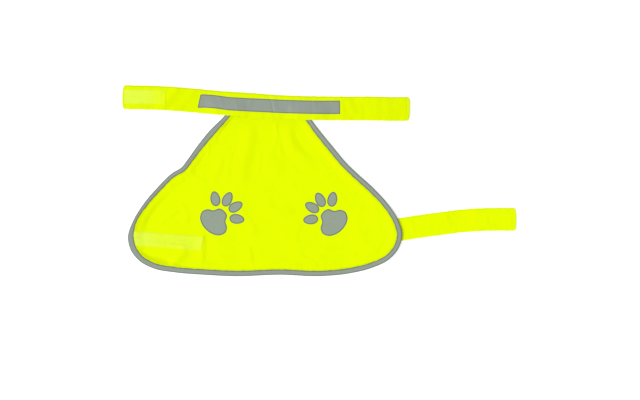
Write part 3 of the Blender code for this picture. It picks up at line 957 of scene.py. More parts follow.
def cloth_sheet(name, plan, middle, thick, uv, edge, material, rounding=0.0):
    """Sheet of cloth with a thickness over a grid of middle points."""
    rows, columns = plan.shape[:2]
    uv = np.stack(np.broadcast_arrays(*uv), axis=-1).reshape(-1, 2)
    faces = grid_faces(rows, columns).tolist()
    piece = new_piece(name, in_frame(plan, middle), faces, uv, edge, material)
    return thicken(piece, thick, rounding)


def to_edge(down, along):
    """Distance of each point of a grid from the nearest edge of its tape."""
    down = np.minimum(down, down[-1] - down)[:, None]
    along = np.minimum(along, along[-1] - along)[None, :]
    return np.minimum(down, along)


def dress(piece, slot, *nodes):
    """Fixes a piece to the frame and hides the solids that it stands for; the name of its finish is not
    used.
    """
    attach(piece, "root")
    if nodes:
        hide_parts(*nodes)
    return piece


def strip_cloth(strip, material, sizes):
    """Doubled cloth strip along a line, folded along its upper edge and stitched at the lower."""
    across = seam_spaced(strip.width, BAND_SEAM, TAPE_STEP)
    plan, at = strip_plan(strip.line, 0, length_of(strip.line), strip.width, across, strip.slant)
    height = strip_middle(strip, plan.reshape(-1, 2), sizes)
    uv = (at[None, :], -across[:, None])
    # painted shade beside the folded upper edge and at both ends
    shade = np.minimum(across[:, None], END_SHADE * np.minimum(at, at[-1] - at)[None, :])
    thick = getattr(sizes, strip.size)
    return cloth_sheet(f"{strip.node}_cloth", plan, height, thick, uv, shade, material, FOLD_ROUNDING)


def trim_sheet(name, grid, surface, material, sizes):
    """Tape that is stitched all round on the cloth whose face is given."""
    plan, down, along = grid
    edge = to_edge(down, along)
    height = surface(plan.reshape(-1, 2), sizes).reshape(edge.shape)
    height += TRIM_LIFT + sizes.tape / MILLIMETRE / 2 + TRIM_DIP * seam_dip(edge - TRIM_SEAM)
    uv = (along[None, :], -down[:, None])
    return cloth_sheet(name, plan, height, sizes.tape, uv, edge, material, TAPE_ROUNDING)


def binding_profile(over):
    """Middle line of the folded tape, from the inner end of its lower leg round the fold."""
    seam = over - BINDING_SEAM
    radius = (BINDING_HIGH - BINDING_LOW) / 2
    lower, upper = [
        [(a * seam + b * width + further, level + rise) for a, b, further, rise in leg]
        for leg, width, level in (
            (LOWER_LEG, BINDING_TAPE - over, BINDING_LOW),
            (UPPER_LEG, over, BINDING_HIGH),
        )
    ]
    fold = [
        (FOLD_MIDDLE - FOLD_BULGE * math.cos(turn), BINDING_LOW + radius + radius * math.sin(turn))
        for turn in np.linspace(-math.pi / 2, math.pi / 2, FOLD_SIDES + 1)
    ]
    return np.array(lower + fold + upper)


def film_disc():
    """Flat disc of rings about its centre, of radius 1, drawn as by hand."""
    bpy.ops.object.select_all(action="DESELECT")
    bpy.ops.mesh.primitive_circle_add(vertices=FILM_SIDES, radius=1.0, fill_type="NOTHING")
    disc = bpy.context.active_object
    bpy.ops.object.mode_set(mode="EDIT")
    bpy.ops.mesh.select_all(action="SELECT")
    size = 1.0
    for ring in FILM_RINGS:
        bpy.ops.mesh.extrude_edges_move()
        bpy.ops.transform.resize(value=(ring / size, ring / size, 1.0))
        size = ring
    bpy.ops.mesh.extrude_edges_move()
    bpy.ops.mesh.merge(type="CENTER")
    bpy.ops.mesh.select_all(action="SELECT")
    bpy.ops.mesh.remove_doubles(threshold=TOUCHING)
    bpy.ops.mesh.normals_make_consistent(inside=False)
    bpy.ops.object.mode_set(mode="OBJECT")
    if disc.data.polygons[0].normal.z < 0:
        disc.data.flip_normals()
    return disc


def film_piece(name, disc, outline, turn_of_disc, place, material, sizes):
    """Pressed film: the disc drawn out to a closed outline, moved to its place on the cloth."""
    points = np.zeros(len(disc.data.vertices) * 3)
    disc.data.vertices.foreach_get("co", points)
    flat = points.reshape(-1, 3)[:, :2]
    radius = np.linalg.norm(flat, axis=1)
    angle = np.arctan2(flat[:, 1], flat[:, 0])
    bearing = np.unwrap(np.arctan2(outline[:, 1], outline[:, 0]))
    if bearing[-1] < bearing[0]:
        outline, bearing = outline[::-1], bearing[::-1]
    reach = np.linalg.norm(outline, axis=1)
    angle = (angle - bearing[0]) % (2 * math.pi) + bearing[0]
    out = np.interp(angle, bearing, reach) * radius
    own = np.column_stack([np.cos(angle), np.sin(angle)]) * out[:, None]
    # darker rim of the film, partly its edge's own tone and partly painted shade
    edge = FILM_RIM * nearest(own, outline)[0]
    own = placed(own, *turn_of_disc)
    plan = placed(own, *place)
    height = panel_top(plan, sizes) + TRIM_LIFT + sizes.film / MILLIMETRE / 2
    height -= FILM_RIM_DROP * np.exp(-edge / FILM_RIM_REACH)
    faces = [tuple(face.vertices) for face in disc.data.polygons]
    return thicken(new_piece(name, in_frame(plan, height), faces, own, edge, material), sizes.film)


def binding_lift(points, sizes):
    """How far the binding is lifted beside some points of its seam."""
    row = beside_edge(points)[2]
    return row[:, 3] + strap_lift(row[:, :2])


def binding_rise(points, sizes):
    """How far the binding's upper side is lifted there, with the seam's puckers."""
    along = nearest(points, EDGE)[1]
    return binding_lift(points, sizes) + BINDING_RIPPLE * pucker(along) * sizes.folds


def beside(line, start, stop, offset):
    """Line that runs beside a middle line, to its left by an offset."""
    at = np.linspace(start, stop, int((stop - start) / STRAP_STEP) + 1)
    return read_along(line, at) + smooth_sides(line, at) * offset


def crossing(line, at, width):
    """Straight line across a strip, at a distance along its middle line."""
    centre, ahead = read_along(line, np.array([at, at + SIDE_REACH]))
    ahead = (ahead - centre) / np.linalg.norm(ahead - centre)
    side = np.array([-ahead[1], ahead[0]])
    return np.array([centre + side * width / 2, centre - side * width / 2])


def end_seams(line, end, width):
    """Stitch lines at a strip's free end: across the end, and round the hook tape under it."""
    stop = end - HOOK_INSET - TRIM_SEAM
    start = end - HOOK_INSET - HOOK_LENGTH + TRIM_SEAM
    half = HOOK_WIDTH / 2 - TRIM_SEAM
    return [
        crossing(line, end - END_SEAM, width - 2 * BAND_SEAM),
        beside(line, start, stop, half),
        beside(line, start, stop, -half),
        crossing(line, start, 2 * half),
        crossing(line, stop, 2 * half),
    ]


def round_seam(plan):
    """The four stitch lines of a tape, along the rows of its grid that lie on the seam."""
    return [plan[2, 2:-2], plan[-3, 2:-2], plan[2:-2, 2], plan[2:-2, -3]]


def taken_mesh(made):
    """Points and faces of an object in millimetres, which is then removed."""
    points = np.array([tuple(vertex.co) for vertex in made.data.vertices])
    faces = [tuple(face.vertices) for face in made.data.polygons]
    bpy.data.objects.remove(made)
    return points, faces


def stitch_shape(sizes):
    """One stitch along X about the origin, in millimetres, and its faces."""
    thread, length = sizes.thread / MILLIMETRE, sizes.stitch / MILLIMETRE
    bpy.ops.object.select_all(action="DESELECT")
    bpy.ops.mesh.primitive_cylinder_add(
        vertices=STITCH_SIDES, radius=thread / 2, depth=length, rotation=(0, math.pi / 2, 0)
    )
    stitch = bpy.context.active_object
    bpy.ops.object.transform_apply(location=True, rotation=True, scale=True)
    bpy.ops.object.mode_set(mode="EDIT")
    bpy.ops.mesh.select_all(action="SELECT")
    bpy.ops.mesh.bisect(plane_co=(0, 0, 0), plane_no=(1, 0, 0))
    bpy.ops.mesh.select_all(action="DESELECT")
    bpy.ops.object.mode_set(mode="OBJECT")
    ends = max(v.co.x for v in stitch.data.vertices) - TOUCHING
    for line in stitch.data.edges:
        line.select = all(abs(stitch.data.vertices[v].co.x) > ends for v in line.vertices)
    bpy.ops.object.mode_set(mode="EDIT")
    bpy.ops.mesh.bevel(offset=thread * STITCH_BEVEL, segments=1)
    bpy.ops.object.mode_set(mode="OBJECT")
    return taken_mesh(stitch)


def bent_thread(radius, stem, reach, angle, sides, steps):
    """Thread that rises from the origin and bends over towards X, and its faces."""
    bpy.ops.object.select_all(action="DESELECT")
    bpy.ops.mesh.primitive_circle_add(vertices=sides, radius=radius, fill_type="NGON")
    thread = bpy.context.active_object
    bpy.ops.object.mode_set(mode="EDIT")
    bpy.ops.mesh.select_all(action="SELECT")
    bpy.ops.mesh.extrude_region_move(TRANSFORM_OT_translate={"value": (0, 0, stem)})
    bpy.ops.mesh.spin(steps=steps, angle=angle, center=(reach, 0, stem), axis=(0, 1, 0))
    bpy.ops.mesh.select_all(action="SELECT")
    bpy.ops.mesh.remove_doubles(threshold=TOUCHING)
    bpy.ops.mesh.normals_make_consistent(inside=False)
    bpy.ops.object.mode_set(mode="OBJECT")
    return taken_mesh(thread)


def copies(shape, faces, number):
    """Faces of a number of copies of one shape, whose points follow one another."""
    count = len(shape)
    return [tuple(v + count * copy for v in face) for copy in range(number) for face in faces]


def sown(name, thread, plan, level, lean, turned, seed, material):
    """Copies of a bent thread over the points of a plan, standing on a level, each its own way."""
    shape, faces = thread
    chance = np.random.default_rng(seed)
    number = len(plan)
    turn = chance.normal(0, lean, number)[:, None]
    size = chance.uniform(*THREAD_SIZES, number)[:, None]
    shift = chance.uniform(-THREAD_SHIFT, THREAD_SHIFT, (number, 2)) * (0 if turned else 1)
    x, y, z = [size * column for column in shape.T]
    cos, sin = np.cos(turn), np.sin(turn)
    side = -1 if turned else 1
    plan_x = plan[:, :1] + shift[:, :1] + x * cos - side * y * sin
    plan_y = plan[:, 1:2] + shift[:, 1:2] + x * sin + side * y * cos
    height = level[:, None] + side * z
    points = in_frame(np.stack([plan_x, plan_y], axis=-1), height)
    uv = np.column_stack([plan_x.ravel() - plan[:, 0].min(), plan_y.ravel()])
    edge = np.full(len(points), FOLD_RIM)
    return new_piece(name, points, copies(shape, faces, number), uv, edge, material)


def inner_points(grid, pitch, margin):
    """Points in staggered rows over a tape, away from its edges."""
    plan, down, along = grid
    rows = np.arange(margin, down[-1] - margin, pitch)
    columns = np.arange(margin, along[-1] - margin, pitch)
    points = []
    for number, row in enumerate(rows):
        at = columns + pitch / 2 * (number % 2)
        left, right = [
            np.array([np.interp(row, down, plan[:, end, axis]) for axis in (0, 1)]) for end in (0, -1)
        ]
        points.append(between(left, right, at / along[-1]))
    return np.vstack(points)


def sew(name, lines, surface, lift, material, sizes, under=False):
    """Rows of stitches along lines of the plan, at a height over a surface."""
    shape, faces = stitch_shape(sizes)
    if under:
        shape = shape * (1, -1, -1)
    length = sizes.stitch / MILLIMETRE
    pitch = length + sizes.stitch_gap / MILLIMETRE
    sink = STITCH_SINK * (shape[:, 0] / length * 2)**2 * (-1 if under else 1)
    part = shape[None, :, 0] / length
    points, uv, count = [], [], 0
    for line in lines:
        whole = np.array(line, float)
        total = length_of(whole)
        number = max(int(total / pitch), 1)
        middles = (np.arange(number) + 0.5) * total / number
        at = middles[:, None] + shape[None, :, 0]
        fine = read_along(whole, np.linspace(0, total, max(int(total / SEAM_READ_STEP), 2) + 1))
        side = read_along(np.column_stack([fine[:, :2], left_normals(fine)]), at)[..., 2:]
        side /= np.linalg.norm(side, axis=2)[..., None]
        plan = read_along(whole, at)[..., :2] + side * shape[None, :, 1:2]
        start, middle, end = [
            lift + surface(read_along(whole, middles + shift)[:, :2], sizes)[:, None]
            for shift in (-length / 2, 0, length / 2)
        ]
        level = middle * (1 - 2 * np.abs(part)) + 2 * np.where(part > 0, end, start) * np.abs(part)
        points.append(in_frame(plan, level + shape[None, :, 2] - sink[None, :]))
        around = np.tile(np.arctan2(shape[:, 2], shape[:, 1]), number)
        uv.append(np.column_stack([at.ravel(), around]))
        count += number
    points, uv = np.vstack(points), np.vstack(uv)
    edge = np.zeros(len(points))
    return new_piece(name, points, copies(shape, faces, count), uv, edge, material)


# Materials


def plug(tree, node, inputs):
    """Fills inputs of a node: one given as a socket is linked, and any other is set."""
    for name, value in inputs.items():
        if isinstance(value, bpy.types.NodeSocket):
            tree.links.new(value, node.inputs[name])
        else:
            node.inputs[name].default_value = value


def add_node(tree, kind, inputs, **settings):
    """Outputs of a new node with its inputs and settings."""
    made = tree.nodes.new(kind)
    for name, value in settings.items():
        setattr(made, name, value)
    plug(tree, made, inputs)
    return made.outputs


def math_node(tree, operation, *values):
    """Output of a Math node."""
    return add_node(tree, "ShaderNodeMath", dict(enumerate(values)), operation=operation)[0]


def scaled(tree, colour, brightness):
    """A colour times a brightness."""
    grey = add_node(tree, "ShaderNodeCombineXYZ", dict.fromkeys("XYZ", brightness))["Vector"]
    inputs = {"Factor": 1.0, 6: colour, 7: grey}
    return add_node(tree, "ShaderNodeMix", inputs, data_type="RGBA", blend_type="MULTIPLY")[2]


def soft_range(tree, value, start, stop, low, high):
    """Goes softly from low where a value is at start to high where it is at stop."""
    inputs = {"Value": value, "From Min": start, "From Max": stop, "To Min": low, "To Max": high}
    return add_node(tree, "ShaderNodeMapRange", inputs, interpolation_type="SMOOTHSTEP")["Result"]


def stretched(tree, vector, scale):
    """A map whose patterns are drawn out along or across."""
    return add_node(tree, "ShaderNodeMapping", {"Vector": vector, "Scale": scale})["Vector"]


def knit(tree, given):
    """Fine warp knit: upright wales whose small stitches lean to one side and the other."""
    place = add_node(tree, "ShaderNodeSeparateXYZ", {"Vector": given["Vector"]})
    u = math_node(tree, "DIVIDE", place["X"], given["Wale"])
    v = math_node(tree, "DIVIDE", place["Y"], math_node(tree, "MULTIPLY", given["Wale"], COURSE))
    lean = math_node(tree, "SINE", math_node(tree, "MULTIPLY", v, math.pi))
    shifted = math_node(tree, "MULTIPLY_ADD", lean, WALE_LEAN, u)
    wale = math_node(tree, "SINE", math_node(tree, "MULTIPLY", shifted, math.pi))
    loops = math_node(tree, "SINE", math_node(tree, "MULTIPLY", v, 2 * math.pi))
    loops = math_node(tree, "MULTIPLY_ADD", loops, COURSE_DEPTH, 1 - COURSE_DEPTH)
    height = math_node(tree, "MULTIPLY", math_node(tree, "ABSOLUTE", wale), loops)
    hollow = math_node(tree, "SUBTRACT", 1.0, math_node(tree, "POWER", height, 0.5))
    return {"Height": height, "Hollow": hollow}


def mottle(tree, given):
    """Slow and fine changes of a colour, as dye and handling leave them."""
    inputs = {"Vector": given["Vector"], "Scale": given["Patches per metre"], "Detail": 4.0}
    patch = add_node(tree, "ShaderNodeTexNoise", {**inputs, "Roughness": 0.6})["Fac"]
    centred = math_node(tree, "SUBTRACT", patch, 0.5)
    doubled = math_node(tree, "MULTIPLY", given["Amount"], 2.0)
    change = math_node(tree, "MULTIPLY_ADD", centred, doubled, 1.0)
    return {"Colour": scaled(tree, given["Colour"], change), "Patch": patch}


def glass_beads(tree, given):
    """Coat of tiny glass beads: random grains that differ in brightness and height."""
    scale = math_node(tree, "DIVIDE", 1.0, given["Size"])
    cells = add_node(tree, "ShaderNodeTexVoronoi", {"Vector": given["Vector"], "Scale": scale}, feature="F1")
    grain = add_node(tree, "ShaderNodeSeparateColor", {"Color": cells["Color"]})
    centred = math_node(tree, "SUBTRACT", grain["Red"], 0.5)
    change = math_node(tree, "MULTIPLY_ADD", centred, given["Contrast"], 1.0)
    dome = math_node(tree, "SUBTRACT", 1.0, cells["Distance"])
    return {"Colour": scaled(tree, given["Colour"], change), "Height": dome, "Grain": grain["Green"]}


def edge_tone_and_shade(tree, given):
    """Darkens a colour beside the edge of a piece: painted shade on cloth beside a fold or seam, partly
    painted shade and partly the edge's own tone on grey pieces, and the flat selvedge's own tone on loop
    tapes.
    """
    reach = math_node(tree, "DIVIDE", given["Distance"], given["Width"])
    rim = soft_range(tree, reach, *RIM_FADE, 1.0, 0.0)
    left = math_node(tree, "SUBTRACT", 1.0, math_node(tree, "MULTIPLY", rim, given["Darkening"]))
    return {"Colour": scaled(tree, given["Colour"], left), "Rim": rim}


# Shader groups. Columns: what fills the group, its inputs with their defaults, its outputs.
GREY = (0.3, 0.3, 0.3, 1.0)
GROUPS = {
    "Knit": (knit, {"Vector": None, "Wale": 0.0009}, ("Height", "Hollow")),
    "Mottle": (
        mottle,
        {"Vector": None, "Colour": GREY, "Patches per metre": 20.0, "Amount": 0.05},
        ("Colour", "Patch"),
    ),
    "Glass beads": (
        glass_beads,
        {"Vector": None, "Size": 0.0003, "Colour": GREY, "Contrast": 0.2},
        ("Colour", "Height", "Grain"),
    ),
    "Edge tone and shade": (
        edge_tone_and_shade,
        {"Colour": GREY, "Distance": 10.0, "Width": 1.5, "Darkening": 0.3},
        ("Colour", "Rim"),
    ),
}
SOCKET_KINDS = {"Vector": "NodeSocketVector", "Colour": "NodeSocketColor"}


def shader_group(name):
    """A shader group with named inputs and outputs, which is built when it is first used."""
    if name in bpy.data.node_groups:
        return bpy.data.node_groups[name]
    fill, inputs, outputs = GROUPS[name]
    group = bpy.data.node_groups.new(name, "ShaderNodeTree")
    for direction, sockets in (("INPUT", inputs), ("OUTPUT", outputs)):
        for socket in sockets:
            kind = SOCKET_KINDS.get(socket, "NodeSocketFloat")
            made = group.interface.new_socket(socket, in_out=direction, socket_type=kind)
            if direction == "INPUT" and inputs[socket] is not None:
                made.default_value = inputs[socket]
    given = group.nodes.new("NodeGroupInput").outputs
    plug(group, group.nodes.new("NodeGroupOutput"), fill(group, given))
    return group


def use_group(tree, name, **inputs):
    """Outputs of a shader group placed in a material with its own values."""
    return add_node(tree, "ShaderNodeGroup", inputs, node_tree=shader_group(name))


def mottled(tree, vector, colour, patches, amount):
    """Outputs of the mottle over a map, with so many patches to the metre."""
    more = {"Patches per metre": patches, "Amount": amount}
    return use_group(tree, "Mottle", Vector=vector, Colour=colour, **more)


def rimmed(tree, colour, width, darkening):
    """Outputs of the darker edge, painted shade and the edge's own tone, over the piece's own distances from
    its edge.
    """
    distance = add_node(tree, "ShaderNodeAttribute", {}, attribute_name="from_edge")["Fac"]
    more = {"Distance": distance, "Width": width, "Darkening": darkening}
    return use_group(tree, "Edge tone and shade", Colour=colour, **more)


def new_material(name, **constants):
    """Material with a Principled shader, whose constant values are set on its own sockets."""
    material = bpy.data.materials.new(name)
    material.use_nodes = True
    tree = material.node_tree
    shader = tree.nodes["Principled BSDF"]
    plug(tree, shader, {socket.replace("_", " "): value for socket, value in constants.items()})
    return material, tree, shader


def cut_map(tree):
    """The piece's own map of the cut, in metres."""
    return add_node(tree, "ShaderNodeUVMap", {}, uv_map="cut")["UV"]


def roughened(tree, mask, more, least):
    """Roughness that a mask raises over its least value."""
    return math_node(tree, "MULTIPLY_ADD", mask, more, least)


def bump(tree, height, strength, depth):
    """Normals of a relief, whose full depth is in metres."""
    inputs = {"Height": height, "Strength": strength, "Distance": depth}
    return add_node(tree, "ShaderNodeBump", inputs)["Normal"]


def link_looks(tree, shader, colour, **more):
    """Links what changes over a surface to its shader."""
    plug(tree, shader, {"Base Color": colour, **more})


def hi_vis_cloth(name, sizes, colours):
    """Matt fluorescent yellow warp knit."""
    tone, darkening = KNITS[name]
    yellow = (*(tone * channel for channel in colours.cloth), 1.0)
    material, tree, shader = new_material(
        name,
        Roughness=0.85,
        Specular_IOR_Level=0.0,
        Sheen_Weight=0.04,
        Sheen_Roughness=0.5,
        Sheen_Tint=(0.8, 1.0, 0.0, 1.0),
        Emission_Color=yellow,
        Emission_Strength=colours.glow,
    )
    cut = cut_map(tree)
    stitches = use_group(tree, "Knit", Vector=cut, Wale=sizes.knit)
    dyed = mottled(tree, cut, yellow, patches=18.0, amount=0.035)["Colour"]
    # painted light on the knit's loops and painted shade in its hollows
    lit = math_node(tree, "MULTIPLY_ADD", stitches["Hollow"], -HOLLOW_PAINTED_SHADE, LOOP_BRIGHTNESS)
    # painted shade beside the cloth's folds, ends, the band and the binding
    rim = rimmed(tree, scaled(tree, dyed, lit), FOLD_RIM, darkening)
    relief = bump(tree, stitches["Height"], strength=0.5, depth=sizes.knit * 0.16)
    link_looks(tree, shader, rim["Colour"], Normal=relief)
    return material


def reflective(name, sizes, grey, roughness):
    """Grey glass-bead coat on tape or film, with a darker rim that is partly the edge's own tone and partly
    painted shade.
    """
    material, tree, shader = new_material(
        name, Specular_IOR_Level=0.25, Sheen_Weight=0.05, Sheen_Roughness=0.4
    )
    cut = cut_map(tree)
    rolled = stretched(tree, cut, (0.35, 2.2, 1.0))
    base = mottled(tree, rolled, (*grey, 1.0), patches=60.0, amount=0.05)["Colour"]
    beads = use_group(tree, "Glass beads", Vector=cut, Size=sizes.bead, Colour=base, Contrast=0.22)
    rim = rimmed(tree, beads["Colour"], RIM_WIDTH, RIM_DARKENING)
    rough = roughened(tree, beads["Grain"], more=0.18, least=roughness)
    relief = bump(tree, beads["Height"], strength=0.35, depth=sizes.bead * 0.25)
    link_looks(tree, shader, rim["Colour"], Roughness=rough, Normal=relief)
    return material


def loop_tape(name, sizes, colours):
    """Brushed pile of loops between two flat woven selvedges."""
    start, full, yellow_share = LOOP_PALE_TO_YELLOW[name]
    pale, yellow = (*colours.loop, 1.0), (*colours.cloth, 1.0)
    material, tree, shader = new_material(
        f"{name}_nap",
        Roughness=0.95,
        Specular_IOR_Level=0.0,
        Sheen_Weight=0.2,
        Sheen_Roughness=0.6,
        Sheen_Tint=(0.9, 1.0, 0.15, 1.0),
        Emission_Color=pale,
        Emission_Strength=colours.glow,
    )
    cut = cut_map(tree)
    towards_yellow = add_node(tree, "ShaderNodeSeparateXYZ", {"Vector": cut})["X"]
    towards_yellow = soft_range(tree, towards_yellow, start, full, 0.0, yellow_share)
    nap = add_node(tree, "ShaderNodeMix", {"Factor": towards_yellow, 6: pale, 7: yellow}, data_type="RGBA")[2]
    brushed = stretched(tree, cut, (0.3, 1.6, 1.0))
    brushed = mottled(tree, brushed, nap, patches=150.0, amount=0.05)["Colour"]
    rim = rimmed(tree, brushed, SELVEDGE, darkening=0.05)
    inputs = {"Vector": cut, "Scale": 1 / sizes.pile, "Detail": 3.0, "Roughness": 0.7}
    loops = add_node(tree, "ShaderNodeTexNoise", inputs)["Fac"]
    height = math_node(tree, "MULTIPLY", loops, math_node(tree, "SUBTRACT", 1.0, rim["Rim"]))
    relief = bump(tree, height, strength=0.8, depth=sizes.pile * 0.5)
    link_looks(tree, shader, rim["Colour"], Normal=relief)
    return material


def hook_tape(colours):
    """Woven ground of the hook tapes."""
    material, tree, shader = new_material("hook_weave", Specular_IOR_Level=0.3)
    cut = cut_map(tree)
    woven = mottled(tree, cut, (*colours.hook, 1.0), patches=400.0, amount=0.06)
    rough = roughened(tree, woven["Patch"], more=0.2, least=0.45)
    weave = use_group(tree, "Knit", Vector=cut, Wale=HOOK_WALE)["Height"]
    relief = bump(tree, weave, strength=0.6, depth=0.0001)
    link_looks(tree, shader, woven["Colour"], Roughness=rough, Normal=relief)
    return material


def sewing_thread(name, colours):
    """Twisted sewing thread, whose name is its colour's."""
    material, tree, shader = new_material(name, Specular_IOR_Level=0.15, Sheen_Weight=0.1)
    cut = cut_map(tree)
    dyed = mottled(tree, cut, (*getattr(colours, name), 1.0), patches=300.0, amount=0.1)
    inputs = {"Vector": cut, "Scale": 700.0, "Distortion": 0.5}
    settings = {"wave_type": "BANDS", "bands_direction": "DIAGONAL"}
    twist = add_node(tree, "ShaderNodeTexWave", inputs, **settings)["Fac"]
    rough = roughened(tree, dyed["Patch"], more=0.2, least=0.5)
    relief = bump(tree, twist, strength=0.5, depth=0.00006)
    link_looks(tree, shader, dyed["Colour"], Roughness=rough, Normal=relief)
    return material


# Operators


def looks(context):
    """The vest's sizes and colours."""
    return context.scene.vest_sizes, context.scene.vest_colours


def lay_strip(context, strip):
    """Lays the cloth of the neck band or the belly strap over its solid."""
    sizes, colours = looks(context)
    piece = strip_cloth(strip, hi_vis_cloth(f"{strip.size}_knit", sizes, colours), sizes)
    dress(piece, "hi_vis_cloth", strip.node)


class VEST_OT_back_panel(bpy.types.Operator):
    """Lays the back panel's cloth, with its swells and creases, over its solid"""

    bl_idname = "vest.back_panel"
    bl_label = "Back panel"

    def execute(self, context):
        sizes, colours = looks(context)
        plan = panel_plan()
        points = plan.reshape(-1, 2)
        middle = panel_middle(points, sizes)
        distance, _, beside = beside_edge(points)
        # painted shade beside the binding, wider in places, and below the band's lower edge
        from_binding = (distance - beside[:, 2]) / shade_width(points)
        from_band = BAND_SHADE + (nearest(points, BAND.line)[0] - BAND_WIDTH / 2) / BAND_SHADE_REACH
        shade = np.minimum(from_binding, from_band)
        material = hi_vis_cloth("panel_knit", sizes, colours)
        uv = (plan[..., 0], plan[..., 1])
        piece = cloth_sheet("back_panel_cloth", plan, middle, sizes.cloth, uv, shade, material)
        dress(piece, "hi_vis_cloth", "back_panel")
        return {"FINISHED"}


class VEST_OT_edge_binding(bpy.types.Operator):
    """Folds the reflective binding tape over the panel's edge"""

    bl_idname = "vest.edge_binding"
    bl_label = "Edge binding"

    def execute(self, context):
        sizes, colours = looks(context)
        total = length_of(EDGE)
        at = np.linspace(0, total, int(total / BINDING_STEP) + 1)
        rows = read_along(EDGE, at)
        normals = read_along(np.column_stack([EDGE[:, :2], left_normals(EDGE)]), at)[:, 2:]
        normals /= np.linalg.norm(normals, axis=1)[:, None]
        lift = rows[:, 3] + strap_lift(rows[:, :2])
        ripple = BINDING_RIPPLE * pucker(at) * sizes.folds
        wander = BINDING_WAVE * pucker(at + BINDING_WAVE_SHIFT) / PUCKER_TOP
        plans, heights, across, from_edge = [], [], [], []
        for row, normal, rise, wave, aside in zip(rows, normals, lift, ripple, wander):
            profile = binding_profile(row[2])
            inward = profile[:, 0].copy()
            inward[-1] += aside
            upper = profile[:, 1] > (BINDING_LOW + BINDING_HIGH) / 2
            plans.append(row[:2] + normal * inward[:, None])
            near_seam = np.exp(-((inward - row[2] + BINDING_SEAM) / RIPPLE_REACH)**2)
            heights.append(profile[:, 1] + rise + upper * wave * near_seam)
            across.append(lengths_along(profile))
            # darker rims: partly the tape's own edge tone and partly painted shade at its inner edges, and
            # painted shade along its fold
            inner = np.where(upper, row[2], BINDING_TAPE - row[2]) - inward
            from_edge.append(np.minimum(inner, OUTER_RIM * inward))
        piece = cloth_sheet(
            "edge_binding_tape",
            np.array(plans),
            np.array(heights),
            sizes.binding,
            (at[:, None], np.array(across)),
            np.array(from_edge),
            reflective("binding_tape", sizes, colours.tape, roughness=0.42),
            TAPE_ROUNDING,
        )
        dress(piece, "reflective_tape", "edge_binding")
        return {"FINISHED"}


class VEST_OT_neck_band(bpy.types.Operator):
    """Lays the doubled neck band over the panel's neck edge"""

    bl_idname = "vest.neck_band"
    bl_label = "Neck band"

    def execute(self, context):
        lay_strip(context, BAND)
        return {"FINISHED"}


class VEST_OT_belly_strap(bpy.types.Operator):
    """Lays the doubled belly strap, whose inner end is sewn under the right flank"""

    bl_idname = "vest.belly_strap"
    bl_label = "Belly strap"

    def execute(self, context):
        lay_strip(context, STRAP)
        return {"FINISHED"}


class VEST_OT_reflective_strip(bpy.types.Operator):
    """Lays the reflective strip on the neck band"""

    bl_idname = "vest.reflective_strip"
    bl_label = "Reflective strip"

    def execute(self, context):
        sizes, colours = looks(context)
        material = reflective("strip_tape", sizes, colours.tape, roughness=0.42)
        grid = neck_strip_plan()
        piece = trim_sheet("neck_strip_tape", grid, band_top, material, sizes)
        dress(piece, "reflective_tape", "neck_reflective_strip")
        return {"FINISHED"}


class VEST_OT_loop_tapes(bpy.types.Operator):
    """Lays the loop tapes on the band's left arm and on the left flank"""

    bl_idname = "vest.loop_tapes"
    bl_label = "Loop tapes"

    def execute(self, context):
        sizes, colours = looks(context)
        loop = bent_thread(LOOP_THREAD, LOOP_STEM, LOOP_REACH, math.pi, sides=3, steps=6)
        for name, grid, surface, carrier in (
            ("neck_loop", neck_loop_plan(), band_top, "neck_band_cloth"),
            ("flank_loop", flank_loop_plan(), panel_top, "back_panel_cloth"),
        ):
            material = loop_tape(name, sizes, colours)
            piece = trim_sheet(f"{name}_ground", grid, surface, material, sizes)
            dress(piece, "loop_tape", f"{name}_tape")
            places = inner_points(grid, LOOP_PITCH, LOOP_MARGIN)
            level = surface(places, sizes) + TRIM_LIFT + sizes.tape / MILLIMETRE - LOOP_THREAD
            pile = sown(f"{name}_pile", loop, places, level, LOOP_TURN, False, LOOP_SEED, material)
            dress(pile, "loop_tape")
        return {"FINISHED"}


class VEST_OT_hook_tapes(bpy.types.Operator):
    """Puts the hook tapes under the ends of the band and of the strap"""

    bl_idname = "vest.hook_tapes"
    bl_label = "Hook tapes"

    def execute(self, context):
        material = hook_tape(looks(context)[1])
        hook = bent_thread(HOOK_THREAD, HOOK_STEM, HOOK_REACH, HOOK_BEND, sides=5, steps=4)
        for name, strip in (("neck_hook", BAND), ("belly_hook", STRAP)):
            stop = length_of(strip.line) - HOOK_INSET - strip.slant
            across = seam_spaced(HOOK_WIDTH, TRIM_SEAM, TAPE_STEP)
            plan, at = strip_plan(strip.line, stop - HOOK_LENGTH, stop, HOOK_WIDTH, across)
            middle = np.full(plan.shape[:2], HOOK_MIDDLE)
            uv = (at[None, :], -across[:, None])
            edge = to_edge(across, at - at[0])
            thick = HOOK_WEAVE * MILLIMETRE
            piece = cloth_sheet(f"{name}_weave", plan, middle, thick, uv, edge, material, TAPE_ROUNDING)
            dress(piece, "hook_tape", f"{name}_tape")
            places = inner_points((plan, across, at - at[0]), HOOK_PITCH, HOOK_MARGIN)
            level = np.full(len(places), HOOK_MIDDLE - HOOK_WEAVE / 2 + HOOK_THREAD)
            hooks = sown(f"{name}_hooks", hook, places, level, HOOK_TURN, True, HOOK_SEED, material)
            dress(hooks, "hook_tape")
        return {"FINISHED"}


